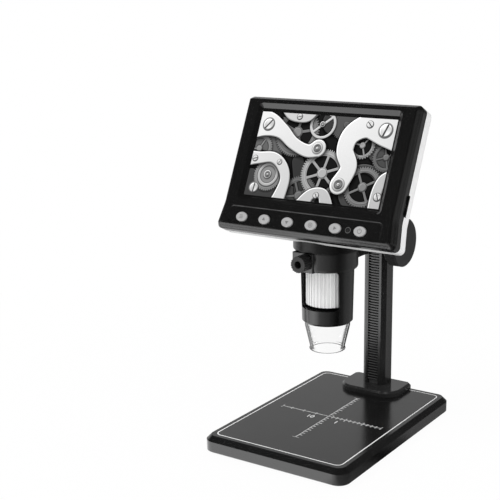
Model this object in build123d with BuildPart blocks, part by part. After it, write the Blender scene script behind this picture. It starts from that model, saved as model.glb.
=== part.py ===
from build123d import *
from math import asin, atan, cos, degrees, pi, radians, sin, sqrt, tan
import os

os.makedirs("parts", exist_ok=True)

# Hand-held style digital microscope with a tilted colour screen, standing on a
# rack-and-pinion bracket.  Millimetres, +Z up, the screen faces -Y, and the
# origin is on the bench under the middle of the base.

# ---- base ----
base_width = 103.0
base_length = 145.0
base_top = 11.0
base_corner = 8.0
base_bevel = 3.0
base_lower_bevel = 0.6
pad_height = 0.8            # how far the rubber feet stand out
pad_radius = 6.0
pad_pocket = 1.2
pad_inset_x = 10.5
pad_inset_y = 10.5

# ---- column and its foot ----
column_inset = 11.0         # from the rear edge of the base to the middle of the column
column_width = 17.2
column_depth = 14.4
column_bevel = 2.8
column_top = 200.0
channel_width = 8.0
channel_depth = 3.8
core_width = 3.0
core_depth = 4.0
core_setback = 2.6          # from the middle of the column to the core
port_radius = 1.75
port_spacing = 9.2
foot_width = 45.0
foot_length = 28.8
foot_front_round = 12.0
foot_thickness = 4.0
foot_rear_inset = 1.0       # from the rear edge of the base
foot_rear_bevel = 2.4
foot_edge = 1.3
cap_thickness = 2.4
cap_plug_length = 5.0
cap_plug_gap = 0.1
screw_radius = 1.7
screw_head_radius = 3.6
screw_head_height = 2.6
screw_recess = 4.0
screw_grip = 12.0           # length of thread inside the column
screw_gap = 0.3

# ---- rack and pinion ----
gear_module = 0.6
pinion_teeth = 16
pressure_angle = 20.0
tooth_backlash = 0.12
rack_back = 2.15
rack_side_gap = 0.1
rack_end_margin = 2.0
pinion_width = 6.8

# ---- carriage on the column ----
carriage_width = 29.0
carriage_reach = 19.0       # from the middle of the column to the front of the carriage
carriage_wall = 2.9
carriage_bottom = 112.2
carriage_height = 24.0
carriage_gap = 0.25
carriage_round = 2.5
pinion_lift = 7.1           # above the bottom of the carriage
shaft_radius = 1.5
shaft_gap = 0.05
bearing_gap = 0.5
pinion_side_gap = 0.5
glide_width = 9.0
glide_thickness = 1.4
glide_length = 18.0
glide_gap = 0.1

# ---- focusing knob ----
knob_radius = 16.0
knob_thickness = 8.2
knob_gap = 2.8
knob_flutes = 40
knob_flute_radius = 0.6
knob_flute_depth = 0.3
knob_bevel = 0.5
knob_recess_radius = 11.5
knob_recess_depth = 4.0
knob_hub_radius = 4.6

# ---- clamp ring and arm ----
tube_y = -6.0               # optical axis of the head
ring_outer = 19.2
ring_drop = 0.4             # below the bottom of the carriage
ring_height = 12.0
ring_gap = 0.1
ring_round = 2.2
arm_width = 19.0
arm_lift = 2.4              # above the bottom of the carriage
boss_left = -13.5
boss_right = 1.8
boss_reach = 20.0           # in front of the tube's axis
boss_round = 1.0
flange_thickness = 3.0
flange_screw_radius = 1.4
flange_screw_margin = 4.5   # from the side of the carriage to an arm screw's axis
thumb_x = -3.8
thumb_lift = 6.6            # above the bottom of the ring
thumb_radius = 5.1
thumb_length = 8.0
thumb_hole_radius = 2.35
thumb_hole_depth = 5.0
thumb_flutes = 20
thumb_gap = 0.4
stud_radius = 2.0
stud_tip_gap = 0.35
insert_radius = 3.2
insert_length = 2.3

# ---- screen housing, measured in the plane of the screen ----
tilt = 25.0
screen_forward = 10.6       # from the tube's axis to the middle of the screen
screen_rise = 47.0          # above the top of the collar
head_height = 86.5
head_centre = -6.25         # below the middle of the screen
head_corner = 3.2
flare_v = -33.0             # the sides flare out below this height
flare_width = 2.3
flare_round = 20.0
bezel_front = 2.2           # in front of the screen surface
bezel_rear = 7.2            # behind the screen surface
bezel_wall = 2.3
bevel_inset = 2.6
bevel_depth = 3.9
window_lap_x = 1.7          # the bezel covers this much of the glass on either side
window_lap_y = 1.9
window_centre = 0.65        # above the middle of the screen
window_corner = 3.4
window_slope = 3.0
shell_depth = 9.0
shell_wall = 2.0
shell_round = 3.0
boss_gap = 2.9              # from the edge of the glass to a case screw's axis
boss_inset = 5.7            # from a case screw's axis to the side of the housing
boss_v_top = 22.0
boss_v_low = -44.0
boss_radius = 2.4
shell_boss_radius = 3.2
case_screw_radius = 1.0
case_screw_head = 1.9
case_screw_head_height = 1.4
case_screw_sink = 3.2
case_screw_gap = 0.15
case_screw_end = 3.0        # how far behind the screen the screws end
post_u = 40.0
post_v_top = 22.0
post_v_low = -26.0
post_radius = 2.2
hump_radius = 21.5
hump_wall = 2.0
hump_height = 31.0          # straight part of the neck, above the collar
hump_front = 14.0           # the hump begins this far behind the screen

# ---- screen and boards ----
glass_width = 104.8
glass_height = 66.6
glass_thickness = 3.2
backlight_thickness = 1.8
backlight_lip = 1.0
board_thickness = 1.6
board_front = 8.8
board_margin = 4.4          # the main board is this much narrower than the glass on either side
board_height = 60.0
board_screw_radius = 1.1
board_screw_head = 2.0
board_screw_head_height = 1.2
board_screw_length = 3.6
board_centre_v = -2.0
tab_reach = 10.2
left_tab_v = -4.0
left_tab_height = 36.0
dial_tab_height = 16.0
battery_width = 50.0
battery_height = 34.0
battery_thickness = 3.5
battery_u = -8.0

# ---- keys ----
key_count = 6
key_inset = 17.3           # from the left side of the housing to the first key
key_far_inset = 21.2        # from the last key to the right side of the housing
key_v = -41.5
key_half_width = 3.95
key_half_height = 3.0
key_hole_gap = 0.25
key_flange = 1.0
key_flange_thickness = 0.9
key_height = 0.9            # above the recessed panel
key_travel = 0.6
key_rest_gap = 0.05
panel_depth = 0.5
panel_margin = 7.5          # from the side of the housing to the recessed panel
panel_top = -34.8
panel_bottom = -46.2
panel_corner = 2.5
switch_size = 6.0
switch_body = 2.6
switch_plunger = 1.75
key_board_front = 5.0
key_board_height = 9.0
key_board_margin = 7.0
key_post_radius = 1.5
lamp_offset = 0.25          # right of the middle between the last two keys
lamp_radius = 1.6
lamp_gap = 0.1

# ---- side sockets and brightness wheel ----
usb_v = 6.0
usb_width = 7.8
usb_height = 3.2
usb_length = 9.0
usb_wall = 0.5
card_v = -12.0
card_width = 14.0
card_height = 2.0
card_length = 14.0
card_slot_width = 11.4
card_slot_height = 1.2
socket_setback = 1.0
socket_gap = 0.3
dial_v = -21.6
dial_radius = 8.6
dial_thickness = 2.5
dial_setback = 0.6
dial_flutes = 36
dial_flute_radius = 0.45
dial_pin_radius = 1.5
dial_gap = 0.3
pot_size = 7.0
pot_thickness = 0.7
notch_half = 6.4
notch_depth = 1.9            # in the rear shell
notch_floor_half = 5.0
notch_round = 1.5
notch_bezel_depth = 2.3
notch_bezel_half = 5.6

# ---- tube ----
collar_radius = 21.5
collar_lift = 0.2           # above the ring
collar_height = 10.0
collar_round = 1.0
tube_upper_radius = 16.8
tube_lower_radius = 16.1
tube_length = 57.1          # from its lower end to the top of the collar
tube_bevel = 1.2
tube_bore = 14.0
tube_flange_radius = 19.3
tube_flange = 2.0
seat_radius = 14.5
seat_depth = 5.7
ledge_lift = 10.0           # above the lower end of the tube
ledge_thickness = 2.0
ledge_radius = 8.8
port_half_width = 13.8
port_cover = 0.8            # how far the port goes up behind the ring
port_corner = 3.0
port_back = 5.0             # in front of the axis
taper_margin = 0.3          # the taper ends this far below the ring

# ---- optics ----
wheel_rib = 0.45
wheel_ribs = 36
wheel_rib_width = 1.2
wheel_relief = 10.5
wheel_rim = 4.0
wheel_gap = 0.35
wheel_height = 24.0
wheel_lift = 1.7
guide_wall = 1.3
guide_flange_radius = 13.7
guide_flange = 1.6
guide_height = 27.5
guide_slot = 2.6
cell_radius = 8.0
slide_gap = 0.08
cell_length = 13.0
cell_lift = 7.0             # above the ledge, in the middle of its travel
cell_bore = 6.4
cell_seat = 4.5
cell_pin_radius = 0.9
cell_pin_reach = 10.1
lens_travel = 3.0
lens_thickness = 3.4
lens_ledge = 1.2
sensor_radius = 13.2
sensor_size = 8.0
sensor_thickness = 1.2
led_count = 8
led_ring_radius = 10.2
led_width = 2.8
led_height = 1.3
led_board_bore = 6.6
cap_reach = 18.6            # below the tube
cap_wall = 1.3
cap_mouth_radius = 10.7
cap_lip = 0.5
cap_lip_height = 1.4
cap_seat_gap = 0.1
cap_straight = 2.5          # straight part below the tube
cap_shoulder_round = 8.0

# ---- derived places ----
lean = radians(tilt)
column_centre_y = base_length / 2 - column_inset
foot_rear = base_length / 2 - foot_rear_inset
carriage_front = column_centre_y - carriage_reach
flange_screw_spread = carriage_width - 2 * flange_screw_margin
pinion_height = carriage_bottom + pinion_lift
ring_bottom = carriage_bottom - ring_drop
ring_top = ring_bottom + ring_height
arm_bottom = carriage_bottom + arm_lift
boss_face = tube_y - boss_reach
thumb_z = ring_bottom + thumb_lift
collar_bottom = ring_top + collar_lift
collar_top = collar_bottom + collar_height
screen_y = tube_y - screen_forward
screen_z = collar_top + screen_rise
hump_shoulder = collar_top + hump_height
tube_bottom = collar_top - tube_length
ledge_top = tube_bottom + ledge_lift
port_top = ring_bottom + port_cover
tube_taper_top = ring_bottom - taper_margin
guide_top = ledge_top + guide_height
cell_bottom = ledge_top + cell_lift
cap_bottom = tube_bottom - cap_reach
cap_straight_end = tube_bottom - cap_straight
boss_u = glass_width / 2 + boss_gap
head_width = 2 * (boss_u + boss_inset)
window_width = glass_width - 2 * window_lap_x
window_height = glass_height - 2 * window_lap_y
board_width = glass_width - 2 * board_margin
panel_width = head_width - 2 * panel_margin
key_pitch = (head_width - key_inset - key_far_inset) / (key_count - 1)
key_first_u = key_inset - head_width / 2
dial_u = head_width / 2 - dial_setback - dial_radius
lamp_u = key_first_u + (key_count - 1.5) * key_pitch + lamp_offset
face = Plane(origin=(0, screen_y, screen_z), x_dir=(1, 0, 0), z_dir=(0, -cos(lean), sin(lean)))
column_front = column_centre_y - column_depth / 2
column_rear = column_centre_y + column_depth / 2
channel_floor = column_front + channel_depth
foot_top = base_top + foot_thickness
tooth_pitch = pi * gear_module
pitch_radius = gear_module * pinion_teeth / 2
pitch_line_y = channel_floor - rack_back - 1.25 * gear_module
pinion_y = pitch_line_y - pitch_radius
tip_radius = pitch_radius + gear_module
root_radius = pitch_radius - 1.25 * gear_module
carriage_top = carriage_bottom + carriage_height
carriage_rear = column_rear + carriage_wall
ring_bore = tube_upper_radius + ring_gap
knob_inner_x = carriage_width / 2 + knob_gap
shell_rear = bezel_rear + shell_depth
shell_inner = shell_rear - shell_wall
board_rear = board_front + board_thickness
tube_axis = Axis((0, tube_y, 0), (0, 0, 1))
tube_section = Plane.XZ.offset(-tube_y)
wheel_radius = tube_bore - wheel_gap - wheel_rib
guide_bore = cell_radius + slide_gap
guide_radius = guide_bore + guide_wall
cap_top_radius = seat_radius - cap_seat_gap
wheel_bore = guide_radius + shaft_gap
wheel_bottom = ledge_top + wheel_lift
wheel_top = wheel_bottom + wheel_height
cell_middle = cell_bottom + cell_length / 2


def head_outline(inset):
    """Outline of the housing in the plane of the screen, with sides that flare out at the keys."""
    top = head_centre + head_height / 2 - inset
    bottom = head_centre - head_height / 2 + inset
    side = head_width / 2 - inset
    Polygon(
        (side, top), (-side, top), (-side, flare_v), (-side - flare_width, bottom),
        (side + flare_width, bottom), (side, flare_v), align=None,
    )
    rows = vertices().group_by(Axis.Y)
    fillet(rows[0] + rows[-1], radius=head_corner - inset / 2)
    fillet(vertices().filter_by_position(Axis.Y, flare_v - 0.1, flare_v + 0.1), radius=flare_round)


def column_outline(grow):
    """Column section with bevelled corners, grown on every side."""
    half_x = column_width / 2 + grow
    half_y = column_depth / 2 + grow
    cut = column_bevel
    Polygon(
        (half_x, half_y - cut), (half_x - cut, half_y), (cut - half_x, half_y),
        (-half_x, half_y - cut), (-half_x, cut - half_y), (cut - half_x, -half_y),
        (half_x - cut, -half_y), (half_x, cut - half_y), align=None,
    )


def side_opening(height, width):
    """Opening for a side socket in the left wall, drawn in the plane of the screen."""
    with Locations((-head_width / 2, height)):
        Rectangle(4 * shell_wall, width + 2 * socket_gap)


def neck_half(radius):
    """Half section of the round neck: a cylinder with a dome on top."""
    with Locations((0, hump_shoulder)):
        Circle(radius)
        Rectangle(2 * radius, 4 * radius, align=(Align.MAX, Align.CENTER), mode=Mode.SUBTRACT)
        Rectangle(2 * radius, 2 * radius, align=(Align.MIN, Align.MAX), mode=Mode.SUBTRACT)
    with Locations((0, collar_top)):
        Rectangle(radius, hump_shoulder - collar_top, align=(Align.MIN, Align.MIN))


# ---- base plate ----
with BuildPart() as base_plate:
    with BuildSketch(Plane.XY.offset(pad_height)):
        RectangleRounded(base_width, base_length, base_corner)
    extrude(amount=base_top - pad_height)
    chamfer(base_plate.faces().sort_by(Axis.Z)[-1].edges(), length=base_bevel)
    chamfer(base_plate.faces().sort_by(Axis.Z)[0].edges(), length=base_lower_bevel)
    with BuildSketch(Plane.XY.offset(pad_height)):
        with GridLocations(base_width - 2 * pad_inset_x, base_length - 2 * pad_inset_y, 2, 2):
            Circle(pad_radius)
    extrude(amount=pad_pocket, mode=Mode.SUBTRACT)
    with BuildSketch(Plane.XY.offset(pad_height)):
        with Locations((0, column_centre_y + core_setback)):
            with GridLocations(port_spacing, 1, 2, 1):
                Circle(screw_head_radius + screw_gap)
    extrude(amount=screw_recess, mode=Mode.SUBTRACT)
    with BuildSketch(Plane.XY.offset(pad_height)):
        with Locations((0, column_centre_y + core_setback)):
            with GridLocations(port_spacing, 1, 2, 1):
                Circle(screw_radius + screw_gap)
    extrude(amount=base_top, mode=Mode.SUBTRACT)
base_plate.part.label = "base_plate"
export_step(base_plate.part, "parts/base_plate.step")

# ---- rubber feet ----
with BuildPart() as rubber_feet:
    with BuildSketch():
        with GridLocations(base_width - 2 * pad_inset_x, base_length - 2 * pad_inset_y, 2, 2):
            Circle(pad_radius)
    extrude(amount=pad_height + pad_pocket)
    chamfer(rubber_feet.faces().group_by(Axis.Z)[0].edges(), length=pad_height / 4)
rubber_feet.part.label = "rubber_feet"
export_step(rubber_feet.part, "parts/rubber_feet.step")

# ---- foot plate of the column ----
with BuildPart() as column_foot:
    with BuildSketch(Plane.XY.offset(base_top)):
        with Locations((0, foot_rear)):
            Rectangle(foot_width, foot_length, align=(Align.CENTER, Align.MAX))
        chamfer(vertices().group_by(Axis.Y)[-1], length=foot_rear_bevel)
        fillet(vertices().group_by(Axis.Y)[0], radius=foot_front_round)
    extrude(amount=foot_thickness)
    chamfer(column_foot.faces().sort_by(Axis.Z)[-1].edges(), length=foot_edge)
    with BuildSketch(Plane.XY.offset(base_top)):
        with Locations((0, column_centre_y + core_setback)):
            with GridLocations(port_spacing, 1, 2, 1):
                Circle(screw_radius + screw_gap)
    extrude(amount=foot_thickness, mode=Mode.SUBTRACT)
column_foot.part.label = "column_foot"
export_step(column_foot.part, "parts/column_foot.step")

# ---- column: extruded bar with a front channel and screw ports ----
with BuildPart() as column:
    with BuildSketch(Plane.XY.offset(foot_top)):
        with Locations((0, column_centre_y)):
            column_outline(0)
        with Locations((0, column_front)):
            Rectangle(channel_width, 2 * channel_depth, mode=Mode.SUBTRACT)
        with Locations((0, column_centre_y + core_setback)):
            RectangleRounded(core_width, core_depth, core_width / 4, mode=Mode.SUBTRACT)
            with GridLocations(port_spacing, 1, 2, 1):
                Circle(port_radius, mode=Mode.SUBTRACT)
    extrude(amount=column_top - foot_top)
column.part.label = "column"
export_step(column.part, "parts/column.step")

# ---- toothed rack pressed into the channel ----
rack_slope = gear_module * tan(radians(pressure_angle))
# one tooth gap sits level with the pinion, one of whose teeth points at the rack
rack_first = pinion_height - tooth_pitch * int((pinion_height - foot_top - rack_end_margin) / tooth_pitch)
with BuildPart() as column_rack:
    with BuildSketch(Plane.YZ.offset(-channel_width / 2 + rack_side_gap)):
        with BuildLine():
            tip_y = pitch_line_y - gear_module
            root_y = pitch_line_y + 1.25 * gear_module
            half_tip = (tooth_pitch - tooth_backlash) / 4 - rack_slope
            half_root = (tooth_pitch - tooth_backlash) / 4 + 1.25 * rack_slope
            outline = [(channel_floor, column_top), (channel_floor, foot_top), (root_y, foot_top)]
            gap_z = rack_first
            while gap_z + tooth_pitch < column_top - rack_end_margin:
                middle = gap_z + tooth_pitch / 2
                outline += [
                    (root_y, middle - half_root), (tip_y, middle - half_tip),
                    (tip_y, middle + half_tip), (root_y, middle + half_root),
                ]
                gap_z += tooth_pitch
            outline.append((root_y, column_top))
            Polyline(*outline, close=True)
        make_face()
    extrude(amount=channel_width - 2 * rack_side_gap)
column_rack.part.label = "column_rack"
export_step(column_rack.part, "parts/column_rack.step")

# ---- plug that closes the top of the column ----
with BuildPart() as column_cap:
    with BuildSketch(Plane.XY.offset(column_top)):
        with Locations((0, column_centre_y)):
            column_outline(0)
    extrude(amount=cap_thickness)
    chamfer(column_cap.faces().sort_by(Axis.Z)[-1].edges(), length=cap_thickness / 4)
    with BuildSketch(Plane.XY.offset(column_top)):
        with Locations((0, column_centre_y + core_setback)):
            RectangleRounded(core_width - 2 * cap_plug_gap, core_depth - 2 * cap_plug_gap, core_width / 5)
            with GridLocations(port_spacing, 1, 2, 1):
                Circle(port_radius - cap_plug_gap)
    extrude(amount=-cap_plug_length)
column_cap.part.label = "column_cap"
export_step(column_cap.part, "parts/column_cap.step")

# ---- screws that pull base, foot and column together ----
with BuildPart() as column_screws:
    with BuildSketch(Plane.XY.offset(pad_height + screw_recess - screw_head_height)):
        with Locations((0, column_centre_y + core_setback)):
            with GridLocations(port_spacing, 1, 2, 1):
                Circle(screw_head_radius)
    extrude(amount=screw_head_height)
    with BuildSketch(Plane.XY.offset(pad_height + screw_recess)):
        with Locations((0, column_centre_y + core_setback)):
            with GridLocations(port_spacing, 1, 2, 1):
                Circle(screw_radius)
    extrude(amount=foot_top + screw_grip - pad_height - screw_recess)
    with BuildSketch(Plane.XY.offset(pad_height + screw_recess - screw_head_height)):
        with Locations((0, column_centre_y + core_setback)):
            with GridLocations(port_spacing, 1, 2, 1):
                Rectangle(1.3 * screw_head_radius, screw_head_radius / 4)
                Rectangle(screw_head_radius / 4, 1.3 * screw_head_radius)
    extrude(amount=screw_head_height / 2, mode=Mode.SUBTRACT)
column_screws.part.label = "column_screws"
export_step(column_screws.part, "parts/column_screws.step")

# ---- carriage: sleeve round the column with the pinion housing ----
bearing_radius = tip_radius + bearing_gap
housing_half = pinion_width / 2 + pinion_side_gap
with BuildPart() as carriage_block:
    with BuildSketch(Plane.XY.offset(carriage_bottom)):
        with Locations((0, (carriage_front + carriage_rear) / 2)):
            RectangleRounded(carriage_width, carriage_rear - carriage_front, carriage_round)
    extrude(amount=carriage_height)
    chamfer(carriage_block.faces().sort_by(Axis.Z)[-1].edges(), length=carriage_round / 2)
    chamfer(carriage_block.faces().sort_by(Axis.Z)[0].edges(), length=carriage_round / 4)
    with BuildSketch(Plane.XY.offset(carriage_bottom)):
        with Locations((0, column_centre_y)):
            column_outline(carriage_gap)
    extrude(amount=carriage_height, mode=Mode.SUBTRACT)
    # chamber and bearing of the pinion, open to the rack
    with BuildSketch(Plane.YZ.offset(-carriage_width / 2)):
        with Locations((pinion_y, pinion_height)):
            Circle(bearing_radius)
    extrude(amount=carriage_width / 2 + housing_half, mode=Mode.SUBTRACT)
    with BuildSketch(Plane.YZ):
        with Locations((pinion_y, pinion_height)):
            Circle(shaft_radius + shaft_gap)
    extrude(amount=carriage_width / 2, mode=Mode.SUBTRACT)
    # pocket of the glide pad in the rear wall
    with BuildSketch(Plane.XZ.offset(-column_rear)):
        with Locations((0, carriage_bottom + carriage_height / 2)):
            Rectangle(glide_width, glide_length)
    extrude(amount=-(glide_gap + glide_thickness), mode=Mode.SUBTRACT)
    # pilot holes for the arm screws
    with BuildSketch(Plane.XZ.offset(-carriage_front)):
        with Locations((0, carriage_top - flange_screw_radius * 4)):
            with GridLocations(flange_screw_spread, 1, 2, 1):
                Circle(flange_screw_radius)
    extrude(amount=-flange_thickness * 2, mode=Mode.SUBTRACT)
carriage_block.part.label = "carriage_block"
export_step(carriage_block.part, "parts/carriage_block.step")

# ---- bearing bush that closes the left end of the pinion chamber ----
with BuildPart() as pinion_bush:
    with BuildSketch(Plane.YZ.offset(-carriage_width / 2 - flange_thickness / 2)):
        with Locations((pinion_y, pinion_height)):
            Circle(bearing_radius + bearing_gap * 3)
    extrude(amount=flange_thickness / 2)
    chamfer(pinion_bush.faces().sort_by(Axis.X)[0].edges(), length=flange_thickness / 6)
    with BuildSketch(Plane.YZ.offset(-carriage_width / 2)):
        with Locations((pinion_y, pinion_height)):
            Circle(bearing_radius - shaft_gap)
    # the bush stops before the column, which passes behind the pinion
    extrude(amount=(carriage_width - column_width) / 2 - flange_thickness / 2)
    with BuildSketch(Plane.YZ.offset(-carriage_width / 2)):
        with Locations((pinion_y, pinion_height)):
            Circle(shaft_radius + shaft_gap)
    extrude(amount=carriage_width / 2, mode=Mode.SUBTRACT)
pinion_bush.part.label = "pinion_bush"
export_step(pinion_bush.part, "parts/pinion_bush.step")

# ---- glide pad that keeps the carriage tight on the column ----
with BuildPart() as glide_pad:
    with BuildSketch(Plane.XZ.offset(-column_rear - glide_gap)):
        with Locations((0, carriage_bottom + carriage_height / 2)):
            Rectangle(glide_width - 2 * glide_gap, glide_length - 2 * glide_gap)
    extrude(amount=-glide_thickness)
    chamfer(glide_pad.faces().sort_by(Axis.Y)[0].edges(), length=glide_thickness / 5)
glide_pad.part.label = "glide_pad"
export_step(glide_pad.part, "parts/glide_pad.step")

# ---- arm with the ring that carries the head ----
with BuildPart() as support_arm:
    with BuildSketch(Plane.XY.offset(arm_bottom)):
        with BuildLine():
            Polyline(
                (-arm_width / 2, tube_y), (-arm_width / 2, carriage_front - arm_width),
                (-carriage_width / 2 + carriage_round, carriage_front),
                (carriage_width / 2 - carriage_round, carriage_front),
                (arm_width / 2, carriage_front - arm_width), (arm_width / 2, tube_y), close=True,
            )
        make_face()
    extrude(amount=ring_top - arm_bottom)
    with BuildSketch(Plane.XY.offset(ring_bottom)):
        with Locations((0, tube_y)):
            Circle(ring_outer)
    extrude(amount=ring_height)
    fillet(support_arm.faces().sort_by(Axis.Z)[0].edges(), radius=ring_round)
    # boss of the clamping screw
    with BuildSketch(Plane.XY.offset(ring_bottom)):
        with Locations(((boss_left + boss_right) / 2, boss_face)):
            Rectangle(boss_right - boss_left, tube_y - boss_face, align=(Align.CENTER, Align.MIN))
        fillet(vertices().group_by(Axis.Y)[0], radius=boss_round)
    extrude(amount=ring_height)
    # upright flange on the carriage, under the housing of the screen
    with BuildSketch(Plane.XZ.offset(-carriage_front)):
        with Locations((0, arm_bottom)):
            Rectangle(carriage_width - 2 * carriage_round, carriage_top - carriage_round - arm_bottom,
                      align=(Align.CENTER, Align.MIN))
    extrude(amount=flange_thickness)
    with BuildSketch(Plane.XZ.offset(-carriage_front + flange_thickness)):
        with Locations((0, carriage_top - flange_screw_radius * 4)):
            with GridLocations(flange_screw_spread, 1, 2, 1):
                Circle(flange_screw_radius + screw_gap)
    extrude(amount=-flange_thickness, mode=Mode.SUBTRACT)
    with BuildSketch(Plane.XY.offset(ring_bottom)):
        with Locations((0, tube_y)):
            Circle(ring_bore)
    extrude(amount=ring_height, mode=Mode.SUBTRACT)
    # threaded insert and clearance of the clamping screw
    with BuildSketch(Plane.XZ.offset(-boss_face)):
        with Locations((thumb_x, thumb_z)):
            Circle(insert_radius)
    extrude(amount=-insert_length, mode=Mode.SUBTRACT)
    with BuildSketch(Plane.XZ.offset(-boss_face)):
        with Locations((thumb_x, thumb_z)):
            Circle(stud_radius + screw_gap)
    extrude(amount=boss_face - tube_y, mode=Mode.SUBTRACT)
support_arm.part.label = "support_arm"
export_step(support_arm.part, "parts/support_arm.step")

# ---- pinion shaft with involute teeth ----
base_radius = pitch_radius * cos(radians(pressure_angle))
flank_steps = 4


def involute(angle):
    """Involute function of a pressure angle in radians."""
    return tan(angle) - angle


def tooth_half_angle(radius):
    """Half of a tooth's thickness at a radius, as an angle in radians."""
    at_pitch = (tooth_pitch - tooth_backlash) / (4 * pitch_radius)
    here = max(radius, base_radius)
    local_angle = sqrt(1 - (base_radius / here) ** 2)
    return at_pitch + involute(radians(pressure_angle)) - involute(asin(local_angle))


flank_radii = [root_radius] + [
    base_radius + (tip_radius - base_radius) * step / flank_steps for step in range(flank_steps + 1)
]
gear_points = []
for tooth in range(pinion_teeth):
    centre_angle = 2 * pi * tooth / pinion_teeth
    for radius in flank_radii:
        angle = centre_angle - tooth_half_angle(radius)
        gear_points.append((radius * cos(angle), radius * sin(angle)))
    for radius in reversed(flank_radii):
        angle = centre_angle + tooth_half_angle(radius)
        gear_points.append((radius * cos(angle), radius * sin(angle)))
shaft_left_x = -carriage_width / 2 + pinion_side_gap
knob_outer_x = knob_inner_x + knob_thickness
with BuildPart() as pinion_shaft:
    with BuildSketch(Plane.YZ.offset(-pinion_width / 2)):
        with Locations((pinion_y, pinion_height)):
            Polygon(*gear_points, align=None)
    extrude(amount=pinion_width)
    with BuildSketch(Plane.YZ.offset(shaft_left_x)):
        with Locations((pinion_y, pinion_height)):
            Circle(shaft_radius)
    extrude(amount=knob_outer_x - knob_thickness / 3 - shaft_left_x)
pinion_shaft.part.label = "pinion_shaft"
export_step(pinion_shaft.part, "parts/pinion_shaft.step")

# ---- focusing knob ----
with BuildPart() as focus_knob:
    with BuildSketch(Plane.YZ.offset(knob_inner_x)):
        with Locations((pinion_y, pinion_height)):
            Circle(knob_radius)
    extrude(amount=knob_thickness)
    chamfer(focus_knob.edges().filter_by(GeomType.CIRCLE), length=knob_bevel)
    with BuildSketch(Plane.YZ.offset(knob_inner_x + knob_bevel)):
        with Locations((pinion_y, pinion_height)):
            with PolarLocations(knob_radius + knob_flute_radius - knob_flute_depth, knob_flutes):
                Circle(knob_flute_radius)
    extrude(amount=knob_thickness - 2 * knob_bevel, mode=Mode.SUBTRACT)
    with BuildSketch(Plane.YZ.offset(knob_inner_x)):
        with Locations((pinion_y, pinion_height)):
            Circle(knob_recess_radius)
            Circle(knob_hub_radius, mode=Mode.SUBTRACT)
    extrude(amount=knob_recess_depth, mode=Mode.SUBTRACT)
    with BuildSketch(Plane.YZ.offset(knob_inner_x - knob_gap / 2)):
        with Locations((pinion_y, pinion_height)):
            Circle(knob_hub_radius)
    extrude(amount=knob_gap / 2)
    with BuildSketch(Plane.YZ.offset(knob_inner_x - knob_gap / 2)):
        with Locations((pinion_y, pinion_height)):
            Circle(shaft_radius)
    extrude(amount=knob_gap / 2 + knob_thickness * 2 / 3, mode=Mode.SUBTRACT)
focus_knob.part.label = "focus_knob"
export_step(focus_knob.part, "parts/focus_knob.step")

# ---- screws that hold the arm to the carriage ----
with BuildPart() as arm_screws:
    with BuildSketch(Plane.XZ.offset(-carriage_front + flange_thickness)):
        with Locations((0, carriage_top - flange_screw_radius * 4)):
            with GridLocations(flange_screw_spread, 1, 2, 1):
                Circle(2 * flange_screw_radius)
    extrude(amount=flange_screw_radius)
    fillet(arm_screws.faces().sort_by(Axis.Y)[0:2].edges(), radius=flange_screw_radius / 3)
    with BuildSketch(Plane.XZ.offset(-carriage_front + flange_thickness)):
        with Locations((0, carriage_top - flange_screw_radius * 4)):
            with GridLocations(flange_screw_spread, 1, 2, 1):
                Circle(flange_screw_radius)
    extrude(amount=-(flange_thickness * 2.5))
    with BuildSketch(Plane.XZ.offset(-carriage_front + flange_thickness + flange_screw_radius)):
        with Locations((0, carriage_top - flange_screw_radius * 4)):
            with GridLocations(flange_screw_spread, 1, 2, 1):
                Rectangle(2.4 * flange_screw_radius, flange_screw_radius / 2)
                Rectangle(flange_screw_radius / 2, 2.4 * flange_screw_radius)
    extrude(amount=-flange_screw_radius / 2, mode=Mode.SUBTRACT)
arm_screws.part.label = "arm_screws"
export_step(arm_screws.part, "parts/arm_screws.step")

# ---- threaded insert in the boss of the ring ----
with BuildPart() as clamp_insert:
    with BuildSketch(Plane.XZ.offset(-boss_face)):
        with Locations((thumb_x, thumb_z)):
            Circle(insert_radius)
            Circle(stud_radius + shaft_gap, mode=Mode.SUBTRACT)
    extrude(amount=-insert_length)
clamp_insert.part.label = "clamp_insert"
export_step(clamp_insert.part, "parts/clamp_insert.step")

# ---- clamping screw: moulded thumb knob on a steel stud ----
thumb_back = boss_face - thumb_gap
stud_tip = tube_y - sqrt(tube_upper_radius ** 2 - thumb_x ** 2) - stud_tip_gap
with BuildPart() as thumb_knob:
    with BuildSketch(Plane.XZ.offset(-thumb_back)):
        with Locations((thumb_x, thumb_z)):
            Circle(thumb_radius)
            with PolarLocations(thumb_radius + knob_flute_depth, thumb_flutes):
                Circle(knob_flute_radius, mode=Mode.SUBTRACT)
    extrude(amount=thumb_length)
    with BuildSketch(Plane.XZ.offset(-thumb_back + thumb_length)):
        with Locations((thumb_x, thumb_z)):
            Circle(thumb_hole_radius)
    extrude(amount=-thumb_hole_depth, mode=Mode.SUBTRACT)
    with BuildSketch(Plane.XZ.offset(-thumb_back)):
        with Locations((thumb_x, thumb_z)):
            Circle(stud_radius)
    extrude(amount=(thumb_length - thumb_hole_depth) * 2 / 3, mode=Mode.SUBTRACT)
thumb_knob.part.label = "thumb_knob"
export_step(thumb_knob.part, "parts/thumb_knob.step")

with BuildPart() as thumb_stud:
    with BuildSketch(Plane.XZ.offset(-stud_tip)):
        with Locations((thumb_x, thumb_z)):
            Circle(stud_radius)
    extrude(amount=stud_tip - thumb_back + (thumb_length - thumb_hole_depth) * 2 / 3)
    chamfer(thumb_stud.faces().sort_by(Axis.Y)[-1].edges(), length=stud_radius / 4)
thumb_stud.part.label = "thumb_stud"
export_step(thumb_stud.part, "parts/thumb_stud.step")

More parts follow.
